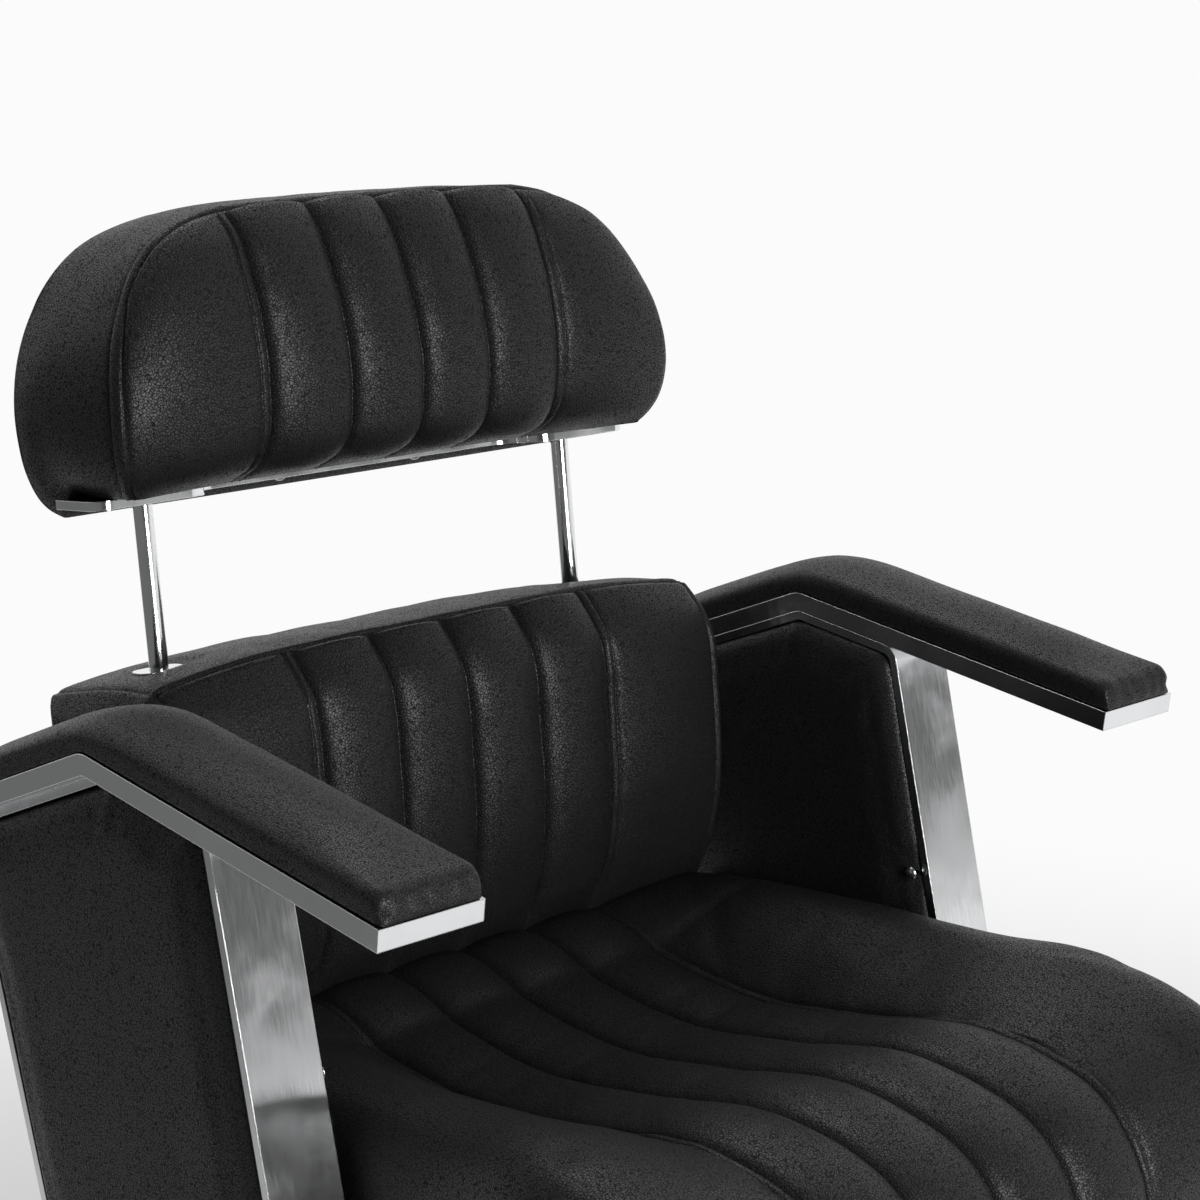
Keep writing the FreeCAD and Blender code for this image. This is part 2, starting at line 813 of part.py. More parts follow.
def is_top_rim(radius, high):
    def test(edge):
        box = edge.BoundBox
        return abs(box.ZMax - float(high)) < 1e-6 and abs(box.ZMin - float(high)) < 1e-6 \
            and abs(box.XMax - float(radius)) < 1e-6
    return test


def make_pump(holes):
    floor = s.base_plate_thick
    bore = column_radius + s.running_gap
    body_radius = s.pump_width / 2
    flange = s.pump_flange_width / 2
    flange_top = floor + s.pump_flange_thick
    housing = turned_piece("pump_housing", [
        (ZERO, floor), (flange, floor), (flange, flange_top), (body_radius, flange_top),
        (body_radius, s.pump_high), (bore, s.pump_high), (bore, s.column_foot_high),
        (ZERO, s.column_foot_high),
    ])
    pocket(housing, sketch(housing, "XY_Plane", holes, flange_top), s.pump_flange_thick)
    lug_high = s.pedal_eye_width / 2
    lug_low = s.pedal_pivot_high - lug_high
    lug_root = body_radius - s.column_wall
    lug = [
        (lug_root, lug_low),
        (s.pedal_pivot_back, lug_low, -(lug_high * LUG_ROUND_SHARE)),
        (s.pedal_pivot_back, s.pedal_pivot_high + lug_high),
        (lug_root, s.pedal_pivot_high + lug_high),
    ]
    gap = s.pedal_bar_wide / 2 + s.side_gap
    pad(housing, sketch(housing, "YZ_Plane", [lug], gap), s.lug_thick)
    pad(housing, sketch(housing, "YZ_Plane", [lug], -gap), s.lug_thick, downward=True)
    pin_hole = (s.pedal_pivot_back, s.pedal_pivot_high, "circle", s.pedal_pin_width / 2 + s.running_gap)
    across = (gap + s.lug_thick + s.overrun) * 2
    pocket(housing, sketch(housing, "YZ_Plane", [pin_hole]), across, both_ways=True)

    bolts = []
    for hole in holes:
        seat = point(hole[0], hole[1], flange_top)
        long = s.pump_flange_thick + s.base_plate_thick / 2
        bolts.append(hex_bolt(s.bolt_head_width, s.bolt_head_thick, s.bolt_width, long,
                              seat, Vector(0, 0, -1)))
    shaped("pump_bolts", Part.makeCompound(bolts))

    pin_long = (gap + s.lug_thick) * 2
    pin = doc.addObject("Part::Cylinder", "pedal_pin")
    pin.Label = "pedal_pin"
    pin.setExpression("Radius", (s.pedal_pin_width / 2).formula)
    pin.setExpression("Height", pin_long.formula)
    pin.Placement = Placement(point(-(pin_long / 2), s.pedal_pivot_back, s.pedal_pivot_high),
                              Rotation(Vector(0, 1, 0), 90))
    pieces.append(pin)


def make_column():
    foot = s.column_foot_high + s.running_gap
    turned_piece("column_tube", box_outline(column_bore, column_radius, foot, s.column_top_high))
    guide_low = s.column_top_high - s.guide_long
    bore = piston_radius + s.running_gap
    guide_outer = column_bore - s.running_gap
    turned_piece("column_guide", box_outline(bore, guide_outer, guide_low, s.column_top_high))
    cap = turned_piece("column_cap", box_outline(bore, s.cap_width / 2, s.column_top_high,
                                                 s.column_top_high + s.cap_thick))
    fillet(cap, cap.Tip, s.cap_thick / 3, is_top_rim(s.cap_width / 2, s.column_top_high + s.cap_thick))
    head = column_bore - s.side_gap
    head_top = s.piston_low_high + s.piston_head_thick
    turned_piece("piston", [
        (ZERO, s.piston_low_high), (head, s.piston_low_high), (head, head_top),
        (piston_radius, head_top), (piston_radius, piston_top), (ZERO, piston_top),
    ])
    bearing_top = mount_plate_low - s.side_gap
    turned_piece("swivel_bearing", box_outline(ZERO, piston_radius, piston_top, bearing_top))


def make_pedal():
    """The foot pedal: a cranked bar with an eye at the pump and a ribbed pad on its tip."""
    eye = s.pedal_eye_width / 2
    half = s.pedal_bar_thick / 2
    pedal = body("pump_pedal")
    pad(pedal, sketch(pedal, "YZ_Plane", [(s.pedal_pivot_back, s.pedal_pivot_high, "circle", eye)]),
        s.pedal_bar_wide, both_ways=True)
    bar = [
        (s.pedal_pivot_back, s.pedal_pivot_high - half),
        (s.pedal_knee_back, s.pedal_knee_high - half),
        (s.pedal_reach - s.pedal_pad_long, s.pedal_tip_high - half),
        (s.pedal_reach, s.pedal_tip_high - half),
        (s.pedal_reach, s.pedal_tip_high + half),
        (s.pedal_reach - s.pedal_pad_long, s.pedal_tip_high + half),
        (s.pedal_knee_back, s.pedal_knee_high + half),
        (s.pedal_pivot_back, s.pedal_pivot_high + half),
    ]
    pad(pedal, sketch(pedal, "YZ_Plane", [bar]), s.pedal_bar_wide, both_ways=True)
    hole = (s.pedal_pivot_back, s.pedal_pivot_high, "circle", s.pedal_pin_width / 2 + s.running_gap)
    pocket(pedal, sketch(pedal, "YZ_Plane", [hole]), s.pedal_bar_wide + s.overrun, both_ways=True)

    top = s.pedal_tip_high + half
    near = s.pedal_reach - s.pedal_pad_long
    half_wide = s.pedal_pad_wide / 2
    cover = extruded("pedal_pad", "XY_Plane", [box_outline(-half_wide, half_wide, near, s.pedal_reach)],
                     s.pedal_pad_thick, both_ways=False, lift=top)
    fillet(cover, cover.Tip, s.pedal_pad_thick / 2, lambda edge: runs_along(edge, Vector(0, 0, 1)))
    across = half_wide + s.overrun
    outlines = grooves(across, near, s.pedal_pad_long, s.pedal_groove, s.pedal_groove_count)
    pocket(cover, sketch(cover, "XY_Plane", outlines, top + s.pedal_pad_thick), s.pedal_groove_deep)


def grooves(across, low, long, wide, count):
    """Outlines of evenly spaced grooves that run sideways across a pad."""
    step = long / (count + 1)
    outlines = []
    for number in range(1, int(float(count)) + 1):
        start = low + step * number - wide / 2
        outlines.append(box_outline(-across, across, start, start + wide))
    return outlines


# Seat frame

def square_tube(title, length, along_x):
    """A square tube with open ends, centred on its own origin."""
    part = body(title)
    half = s.tube_wide / 2
    inner = half - s.tube_wall
    role = "YZ_Plane" if along_x else "XZ_Plane"
    outlines = [box_outline(-half, half, -half, half), box_outline(-inner, inner, -inner, inner)]
    pad(part, sketch(part, role, outlines), length, both_ways=True)
    return part


def make_seat_frame():
    rail_long = s.rail_front + s.rail_back
    rail_middle = (s.rail_back - s.rail_front) / 2
    for side, name in ((1, "left"), (-1, "right")):
        rail = square_tube(f"seat_rail_{name}", rail_long, along_x=False)
        put(rail, rail_centre * side, rail_middle, rail_low + s.tube_wide / 2)
    cross_high = s.frame_high + s.tube_wide / 2
    cross_long = (arm_inner + s.side_bar_wide) * 2
    put(square_tube("cross_tube_front", cross_long, along_x=True), ZERO, s.cross_front_back, cross_high)
    put(square_tube("cross_tube_rear", cross_long, along_x=True), ZERO, s.cross_rear_back, cross_high)
    nose_long = (seat_board_half - s.nose_tube_inset) * 2
    put(square_tube("nose_tube", nose_long, along_x=True), ZERO, -s.nose_tube_front, cross_high)

    half = seat_board_half
    board = extruded("seat_board", "XY_Plane",
                     [box_outline(-half, half, -s.seat_board_front, s.seat_board_back)],
                     s.seat_board_thick, both_ways=False, lift=board_low)
    fillet(board, board.Tip, s.seat_board_corner, lambda edge: runs_along(edge, Vector(0, 0, 1)))


def make_lift_head():
    half = rail_centre + s.mount_plate_overhang
    deep = s.mount_plate_deep / 2
    plate = extruded("mount_plate", "XY_Plane", [box_outline(-half, half, -deep, deep)],
                     s.mount_plate_thick, both_ways=False, lift=mount_plate_low)
    bolt_y = s.mount_bolt_spacing / 2
    places = [(rail_centre * x, bolt_y * y) for x in (-1, 1) for y in (-1, 1)]
    holes = [(x, y, "circle", s.bolt_hole_width / 2) for x, y in places]
    pocket(plate, sketch(plate, "XY_Plane", holes, rail_low), s.mount_plate_thick)
    bolts = []
    for x, y in places:
        seat = point(x, y, mount_plate_low)
        bolts.append(hex_bolt(s.bolt_head_width, s.bolt_head_thick, s.bolt_width, s.mount_plate_thick,
                              seat, Vector(0, 0, 1)))
    shaped("mount_bolts", Part.makeCompound(bolts))
    bore = piston_radius + s.running_gap
    turned_piece("lift_socket", box_outline(bore, bore + s.socket_wall, socket_low, mount_plate_low))


# Arms and side frames

def make_arm_bar(side, name):
    """A flat bar that climbs from its front end to the apex and falls away behind it."""
    front = -s.arm_front
    rise = s.arm_bar_thick
    corner_back, corner_high = apex_underside()
    outline = [
        (front, s.arm_front_high),
        (front + rise * sine(s.arm_front_slope), s.arm_front_high - rise * cosine(s.arm_front_slope)),
        (corner_back, corner_high),
        (s.arm_rear_back - rise * sine(s.arm_rear_slope),
         bar_top(s.arm_rear_back) - rise * cosine(s.arm_rear_slope)),
        (s.arm_rear_back, bar_top(s.arm_rear_back)),
        (s.arm_apex_back, apex_high),
    ]
    bar = extruded(f"arm_bar_{name}", "YZ_Plane", [outline], s.arm_bar_wide)
    top = fillet(bar, bar.Tip, s.arm_bend, edge_at(s.arm_apex_back, apex_high))
    fillet(bar, top, s.arm_bend - s.arm_bar_thick, edge_at(corner_back, corner_high))
    put(bar, arm_centre * side)


def edge_at(back, high):
    """A test for the sideways edge at a place in the side view."""
    def test(edge):
        middle = edge.CenterOfMass
        near = math.hypot(middle.y - float(back), middle.z - float(high)) < float(s.side_gap)
        return near and runs_along(edge, Vector(1, 0, 0))
    return test


def side_corners():
    """Outer corners of the side frame, clockwise seen from +X: up the rear of the picture."""
    foot = s.frame_high - s.side_bar_thick
    corner_back, corner_high = apex_underside()
    slope = tangent(s.arm_front_slope)
    lean_slope = tangent(s.leg_lean)
    # The leg's face meets the bar's lower face where the two lines cross.
    drop = s.arm_bar_thick / cosine(s.arm_front_slope)
    back = (s.leg_face_back + (s.arm_front * slope - drop) * lean_slope) / (-(slope * lean_slope) + 1)
    high = s.arm_front_high + (s.arm_front + back) * slope - drop
    return [
        (leg_back(foot), foot),
        (s.leg_rear_foot_back, foot),
        (s.leg_rear_top_back, bar_underside(s.leg_rear_top_back)),
        (corner_back, corner_high),
        (back, high),
    ]


def make_side_frame(side, name):
    """A closed loop of thin flat bar: a prism, rounded and hollowed to the bar's thickness."""
    frame = extruded(f"side_frame_{name}", "YZ_Plane", [side_corners()], s.side_bar_wide)
    prism = fillet(frame, frame.Tip, s.side_bend, lambda edge: runs_along(edge, Vector(1, 0, 0)))
    ends = []
    for number, face in enumerate(prism.Shape.Faces, start=1):
        if isinstance(face.Surface, Part.Plane) and abs(face.normalAt(0, 0).x) > 0.99:
            ends.append(f"Face{number}")
    loop = frame.newObject("PartDesign::Thickness", f"{frame.Name}_wall")
    loop.Base = (prism, ends)
    loop.Value = float(s.side_bar_thick)
    loop.setExpression("Value", s.side_bar_thick.formula)
    loop.Reversed = True
    frame.Tip = loop
    doc.recompute()
    put(frame, side_centre * side)


def make_side_panel(side, name):
    """A padded panel inside the side frame, standing proud of it on both faces."""
    corners = [Vector(0, float(y), float(z)) for y, z in side_corners()]
    inward = float(s.side_bar_thick + s.panel_gap)
    bottom = float(s.side_bar_thick + s.panel_lift)
    outline = offset_corners(corners[::-1], [inward, inward, inward, bottom, inward])
    face = Part.Face(Part.makePolygon(outline + outline[:1]))
    thick = float(s.side_bar_wide + s.panel_proud * 2)
    inner = float(arm_inner - s.panel_proud)
    prism = face.extrude(Vector(thick, 0, 0))
    corner_edges = [edge for edge in prism.Edges if runs_along(edge, Vector(1, 0, 0))]
    prism = prism.makeFillet(float(s.panel_corner), corner_edges)
    rims = [edge for edge in prism.Edges if edge.BoundBox.XLength < thick / 2]
    panel = prism.makeFillet(float(s.panel_round), rims)
    start = inner if side > 0 else -inner - thick
    panel.translate(Vector(start, 0, 0))
    hole = float(s.panel_screw_shank / 2 + s.running_gap)
    seat = Vector(inner * side, float(s.panel_screw_back), float(s.panel_screw_high))
    deep = float(s.panel_screw_long + s.overrun)
    panel = panel.cut(Part.makeCylinder(hole, deep, seat, Vector(side, 0, 0)))
    shaped(f"side_panel_{name}", panel.Solids[0])


def make_panel_screws():
    """One domed screw on each panel's inner face, low behind the front leg."""
    screws = []
    inner = arm_inner - s.panel_proud
    for side in (1, -1):
        seat = point(inner * side, s.panel_screw_back, s.panel_screw_high)
        screws.append(dome_screw(s.panel_screw_width, s.panel_screw_rise, s.panel_screw_shank,
                                 s.panel_screw_long, seat, Vector(side, 0, 0)))
    shaped("panel_screws", Part.makeCompound(screws))


def make_arm_pad(side, name):
    """An upholstered pad along the bar, rounded over its apex and at both ends."""
    front = -float(s.arm_front)
    apex = float(s.arm_apex_back)
    rear = float(s.arm_rear_back - s.pad_rear_inset)
    stations = [(front + (apex - front) * share, crown, edge) for share, crown, edge in PAD_FRONT_SHARES]
    stations += [(apex + (rear - apex) * share, crown, edge) for share, crown, edge in PAD_REAR_SHARES]
    wires = [pad_section(side, back, crown, edge) for back, crown, edge in stations]
    rough = loft(wires)
    gap = float(s.cushion_gap)
    base = [
        Vector(0, front - float(s.overrun), float(bar_top(-s.arm_front)) + gap),
        Vector(0, float(s.arm_apex_back), float(apex_high) + gap),
        Vector(0, rear + float(s.overrun), float(bar_top(s.arm_rear_back - s.pad_rear_inset)) + gap),
    ]
    base[0].z -= float(s.overrun) * math.tan(math.radians(float(s.arm_front_slope)))
    base[2].z -= float(s.overrun) * math.tan(math.radians(float(s.arm_rear_slope)))
    deep = Vector(0, 0, -float(s.arm_front + s.arm_rear_back))
    face = Part.Face(Part.makePolygon(base + [base[2] + deep, base[0] + deep, base[0]]))
    span = float(s.arm_span)
    shape = rough.cut(face.extrude(Vector(span * 2, 0, 0)).translated(Vector(-span, 0, 0)))
    shaped(f"arm_pad_{name}", shape.Solids[0])


def pad_section(side, back, crown_share, edge_share):
    """A cross-section of the arm pad, standing square to the chair's length."""
    half = float(s.arm_bar_wide) / 2
    centre = float(arm_centre) * side
    base = float(bar_top(Size(back, "")))
    low = base - float(s.arm_bar_thick)
    crown = base + float(s.pad_crown) * crown_share
    edge = base + float(s.pad_edge_rise) * edge_share
    corner = float(s.pad_corner)
    wall = edge - corner * edge_share
    inset = corner * PAD_INSET_SHARE
    lean_in = corner * PAD_LEAN_SHARE
    rise = (edge - wall) * PAD_RISE_SHARE
    return edge_chain([
        Vector(centre - half, back, low),
        Vector(centre - half, back, wall),
        (Vector(centre - half + lean_in, back, wall + rise), Vector(centre - half + inset, back, edge)),
        (Vector(centre, back, crown), Vector(centre + half - inset, back, edge)),
        (Vector(centre + half - lean_in, back, wall + rise), Vector(centre + half, back, wall)),
        Vector(centre + half, back, low),
    ])


# Recline hinge, release rod and lever

def make_hinge(side, name):
    """Seat bracket, locking disc and back arm of one side."""
    eye = s.bracket_eye_width / 2
    reach = eye * EYE_DIAGONAL_SHARE
    bracket = body(f"hinge_bracket_{name}")
    tail = [
        (s.bracket_front_back, rail_low),
        (s.rail_back, rail_low),
        (s.pivot_back + reach, s.pivot_high - reach),
        (s.pivot_back - reach, s.pivot_high + reach),
        (s.cross_rear_back + s.tube_wide / 2 + s.side_gap, s.frame_high),
        (s.bracket_front_back, s.frame_high),
    ]
    pad(bracket, sketch(bracket, "YZ_Plane", [tail]), s.bracket_thick, both_ways=True)
    pad(bracket, sketch(bracket, "YZ_Plane", [(s.pivot_back, s.pivot_high, "circle", eye)]),
        s.bracket_thick, both_ways=True)
    bore = s.rod_width / 2 + s.running_gap
    pocket(bracket, sketch(bracket, "YZ_Plane", [(s.pivot_back, s.pivot_high, "circle", bore)]),
           s.bracket_thick + s.overrun, both_ways=True)
    put(bracket, bracket_centre * side)

    hub_long = s.disc_thick + s.side_gap + s.arm_plate_thick
    disc = body(f"recline_disc_{name}")
    rod_hole = (ZERO, ZERO, "circle", bore)
    for radius, long in ((s.disc_width / 2, s.disc_thick), (s.hub_width / 2, hub_long)):
        drawing = sketch(disc, "YZ_Plane", [(ZERO, ZERO, "circle", radius), rod_hole])
        pad(disc, drawing, long, downward=side < 0)
    put(disc, disc_inner * side, s.pivot_back, s.pivot_high)

    arm = body(f"back_arm_{name}")
    half = s.arm_plate_wide / 2
    front = board_rear
    blade = box_outline(front, front + s.arm_plate_wide, ZERO, s.arm_plate_long)
    pad(arm, sketch(arm, "YZ_Plane", [blade]), s.arm_plate_thick, downward=side < 0)
    pad(arm, sketch(arm, "YZ_Plane", [(ZERO, ZERO, "circle", s.arm_eye_width / 2)]), s.arm_plate_thick,
        downward=side < 0)
    flange = box_outline(front, front + s.arm_plate_thick, s.arm_flange_low, s.arm_plate_long)
    pad(arm, sketch(arm, "YZ_Plane", [flange]), s.arm_flange_wide, downward=side < 0)
    pocket(arm, sketch(arm, "YZ_Plane", [(ZERO, ZERO, "circle", s.hub_width / 2 + s.running_gap)]),
           s.arm_plate_thick * 3, both_ways=True)
    bolt_hole = s.back_bolt_width / 2 + s.running_gap
    holes = [(s.back_bolt_inset * side, z, "circle", bolt_hole) for z in back_bolt_heights()]
    pocket(arm, sketch(arm, "XZ_Plane", holes), s.arm_plate_wide * 2, both_ways=True)
    lean(arm, arm_plate_inner * side)


def back_bolt_heights():
    flange_long = s.arm_plate_long - s.arm_flange_low
    return [s.arm_flange_low + flange_long * share for share in BACK_BOLT_SHARES]


def make_release():
    """The release rod through both hinges, with the lever outside the right side frame."""
    rod = doc.addObject("Part::Cylinder", "release_rod")
    rod.Label = "release_rod"
    wall = (s.grip_thick - s.lever_thick) / 2
    lever_x = -(arm_inner + s.side_bar_wide + s.panel_proud + s.lever_offset + wall + s.lever_thick)
    far_end = arm_plate_inner + s.arm_plate_thick * 2
    rod.setExpression("Radius", (s.rod_width / 2).formula)
    rod.setExpression("Height", (far_end - lever_x).formula)
    rod.Placement = Placement(point(lever_x, s.pivot_back, s.pivot_high), Rotation(Vector(0, 1, 0), 90))
    pieces.append(rod)

    lever = body("recline_lever")
    hub = s.lever_hub_width / 2
    half = s.lever_wide / 2
    near = -(s.lever_long - s.grip_long)
    blade = [
        (ZERO, -half), (ZERO, half), (near, s.lever_rise + half), (-s.lever_long, s.lever_rise + half),
        (-s.lever_long, s.lever_rise - half), (near, s.lever_rise - half),
    ]
    pad(lever, sketch(lever, "YZ_Plane", [blade]), s.lever_thick)
    pad(lever, sketch(lever, "YZ_Plane", [(ZERO, ZERO, "circle", hub)]), s.lever_thick)
    pocket(lever, sketch(lever, "YZ_Plane", [(ZERO, ZERO, "circle", s.rod_width / 2 + s.running_gap)]),
           s.lever_thick * 3, both_ways=True)
    put(lever, lever_x, s.pivot_back, s.pivot_high)

    grip = body("lever_grip")
    high = s.grip_wide / 2
    hold = half + s.running_gap
    start = near - s.grip_overlap
    end = -s.lever_long - s.grip_thick / 2
    outer = box_outline(end, start, s.lever_rise - high, s.lever_rise + high)
    pad(grip, sketch(grip, "YZ_Plane", [outer]), s.grip_thick)
    fillet(grip, grip.Tip, high * GRIP_ROUND_SHARE, lambda edge: runs_along(edge, Vector(1, 0, 0)))
    tip = -s.lever_long - s.running_gap
    slot = box_outline(tip, start + s.overrun, s.lever_rise - hold, s.lever_rise + hold)
    slot_sketch = sketch(grip, "YZ_Plane", [slot], wall - s.running_gap)
    pocket(grip, slot_sketch, s.lever_thick + s.running_gap * 2, downward=True)
    put(grip, lever_x - wall, s.pivot_back, s.pivot_high)


# Footrest

def make_footrest():
    """A tube loop from the two rails down to the feet, and a grooved tread across it."""
    radius = s.foot_tube_width / 2
    start_high = rail_low + s.tube_wide / 2
    corners = []
    for side in (-1, 1):
        leg = [
            point(rail_centre * side, s.foot_insert - s.rail_front, start_high),
            point(rail_centre * side, -s.foot_knee_front, start_high),
            point(rail_centre * side, -s.foot_heel_front, s.foot_high),
            point(rail_centre * side, -s.foot_front, s.foot_high),
        ]
        corners += leg if side < 0 else leg[::-1]
    path = rounded_path(corners, float(s.foot_bend))
    solids = []
    for size in (radius, radius - s.foot_tube_wall):
        ring = Part.Wire(Part.makeCircle(float(size), corners[0], Vector(0, 1, 0)))
        solids.append(Part.Wire(path).makePipeShell([ring], True, False))
    shaped("footrest_tube", solids[0].cut(solids[1]).Solids[0])

    top = s.foot_high + radius
    half = s.tread_wide / 2
    deep = s.tread_deep / 2
    middle = deep - s.foot_front - radius
    tread = body("footrest_tread")
    pad(tread, sketch(tread, "XY_Plane", [box_outline(-half, half, middle - deep, middle + deep)], top),
        s.tread_thick)
    fillet(tread, tread.Tip, s.tread_thick, lambda edge: runs_along(edge, Vector(0, 0, 1)))
    outlines = grooves(half + s.overrun, middle - deep, s.tread_deep, s.tread_groove, s.tread_groove_count)
    pocket(tread, sketch(tread, "XY_Plane", outlines, top + s.tread_thick), s.tread_groove_deep)


def rounded_path(corners, radius):
    """Straight runs joined by tangent arcs."""
    edges = []
    here = corners[0]
    for before, corner, after in zip(corners, corners[1:], corners[2:]):
        back = (before - corner).normalize()
        ahead = (after - corner).normalize()
        half_turn = math.acos(max(-1.0, min(1.0, back.dot(ahead)))) / 2
        reach = radius / math.tan(half_turn)
        start = corner + back * reach
        end = corner + ahead * reach
        middle_way = (back + ahead).normalize()
        middle = corner + middle_way * (radius / math.sin(half_turn) - radius)
        edges.append(Part.makeLine(here, start))
        edges.append(Part.Arc(start, middle, end).toShape())
        here = end
    edges.append(Part.makeLine(here, corners[-1]))
    return edges


# Cushions

def mirrored(shape):
    return shape.mirror(Vector(0, 0, 0), Vector(1, 0, 0))


def channelled(section, seams, side_wires):
    """Lofts between sewn seams, crowned between each two, with the side lofts, as one solid."""
    halves = []
    for start, end in zip(seams, seams[1:]):
        wires = [section(start, True), section((start + end) / 2, False), section(end, True)]
        halves.append(loft(wires))
    for group in side_wires:
        halves.append(loft(group))
    return joined(halves + [mirrored(half) for half in halves])


def make_seat_cushion():
    """Four sewn channels between two raised sides, with a rounded front that falls away."""
    low = float(cushion_low)
    front = -float(s.seat_front)
    rear = float(s.seat_back)
    long = rear - front

    def section(x, sewn, bolster_share=0.0, draw_share=0.0):
        sink = float(s.seam_deep) if sewn else 0.0
        bolster = float(s.seat_bolster) * bolster_share
        rear_thick = float(s.seat_rear_thick)
        nose_thick = float(s.seat_nose_thick)
        dip = low + float(s.seat_dip_thick) + bolster - sink
        nose = low + nose_thick + bolster * SEAT_NOSE_LIFT_SHARE - sink
        back_top = low + rear_thick + bolster * SEAT_REAR_LIFT_SHARE - sink
        inset = float(s.seat_bolster) * draw_share
        y_front = front + inset
        y_rear = rear - inset * SEAT_REAR_DRAW_SHARE
        rear_via, rear_round = SEAT_REAR_ROUND_SHARES
        rear_drop, via_drop = SEAT_REAR_DROP_SHARES
        climb_via, climb_end = SEAT_CLIMB_SHARES
        nose_via, nose_end = SEAT_NOSE_SHARES
        climb_high, nose_high = SEAT_CLIMB_HIGH_SHARES
        front_via_drop, front_drop = SEAT_FRONT_DROP_SHARES
        return edge_chain([
            Vector(x, y_front + long * SEAT_TUCK_SHARE, low),
            Vector(x, y_rear, low),
            Vector(x, y_rear, back_top - rear_thick * rear_drop),
            (Vector(x, y_rear - long * rear_via, back_top - rear_thick * via_drop),
             Vector(x, y_rear - long * rear_round, back_top)),
            (Vector(x, rear - long * climb_via, dip + (back_top - dip) * climb_high),
             Vector(x, rear - long * climb_end, dip)),
            (Vector(x, rear - long * nose_via, dip + (nose - dip) * nose_high),
             Vector(x, rear - long * nose_end, nose)),
            (Vector(x, y_front + long * SEAT_FRONT_ROUND_SHARE, nose - nose_thick * front_via_drop),
             Vector(x, y_front, nose - nose_thick * front_drop)),
        ])

    double = float(double_seam)
    edge = float(seat_edge)
    sides = []
    for across, bolster_share, draw_share in SEAT_SIDE_SHARES:
        x = double + (edge - double) * across
        sides.append(section(x, across == 0.0, bolster_share, draw_share))
    seams = [0.0, float(single_seam), double]
    shape = channelled(section, seams, [sides[:3], sides[2:]])
    shaped("seat_cushion", shape)


def make_backrest():
    """Backrest cushion with a pocket for its board, tubes and arms, open below."""
    low = float(s.back_low)
    rear = float(s.back_rear)
    seam_y = -float(s.back_seam_front)

    def section(x, sewn, top=None, top_rear=None, pull=0.0, rear_pull=0.0, raise_low=0.0):
        top = float(back_top_front) if top is None else top
        top_rear = float(back_top_rear) if top_rear is None else top_rear
        belly = float(s.back_belly) - (float(s.seam_deep) if sewn else 0.0)
        base = low + raise_low
        high = top - base
        places = []
        for up, out in BACK_FRONT_SHARES:
            places.append(Vector(x, seam_y - belly * out + pull, base + high * up))
        return edge_chain([
            Vector(x, rear - rear_pull, base),
            Vector(x, rear - rear_pull, top_rear),
            Vector(x, seam_y + pull, top),
            (places[0], places[1]),
            (places[2], places[3]),
            (places[4], places[5]),
        ])

    seams = [0.0, float(single_seam), float(double_seam)]
    shoulder = float(back_top_front - s.back_shoulder_drop)
    band = float(back_band)
    bulge = float(back_edge)
    top = float(back_top_front)
    top_rear = float(back_top_rear)
    swell = float(s.back_top_swell)
    broad = [
        section(seams[-1], True),
        section((seams[-1] + band) / 2, False, (top + shoulder) / 2 + swell, (top_rear + shoulder) / 2),
        section(band, False, shoulder, shoulder),
    ]
    roll = float(s.back_belly)
    rim = [broad[-1]]
    for across, *shares in BACK_RIM_SHARES:
        drop, rear_drop, pull, rear_pull, rise = [roll * share for share in shares]
        x = band + (bulge - band) * across
        rim.append(section(x, False, shoulder - drop, shoulder - rear_drop, pull, rear_pull, rise))
    shape = channelled(section, seams, [broad, rim])
    half = back_pocket_half
    hollow = block(-half, half, board_front - s.side_gap, board_front + s.back_pocket_deep,
                   s.back_low - s.overrun, back_top_rear - s.back_pocket_top)
    shape = shape.cut(hollow)
    bore = s.guide_tube_width / 2 + s.cushion_gap
    for side in (1, -1):
        base = point(post_x * side, s.post_back, s.back_low)
        shape = shape.cut(Part.makeCylinder(float(bore), float(back_top_front), base))
        wide = s.escutcheon_wide / 2 + s.side_gap
        deep = s.escutcheon_deep / 2 + s.side_gap
        shape = shape.cut(block(post_x * side - wide, post_x * side + wide, s.post_back - deep,
                                s.post_back + deep, escutcheon_low - s.side_gap, back_top_front))
    shaped("back_cushion", shape.Solids[0], back_frame())


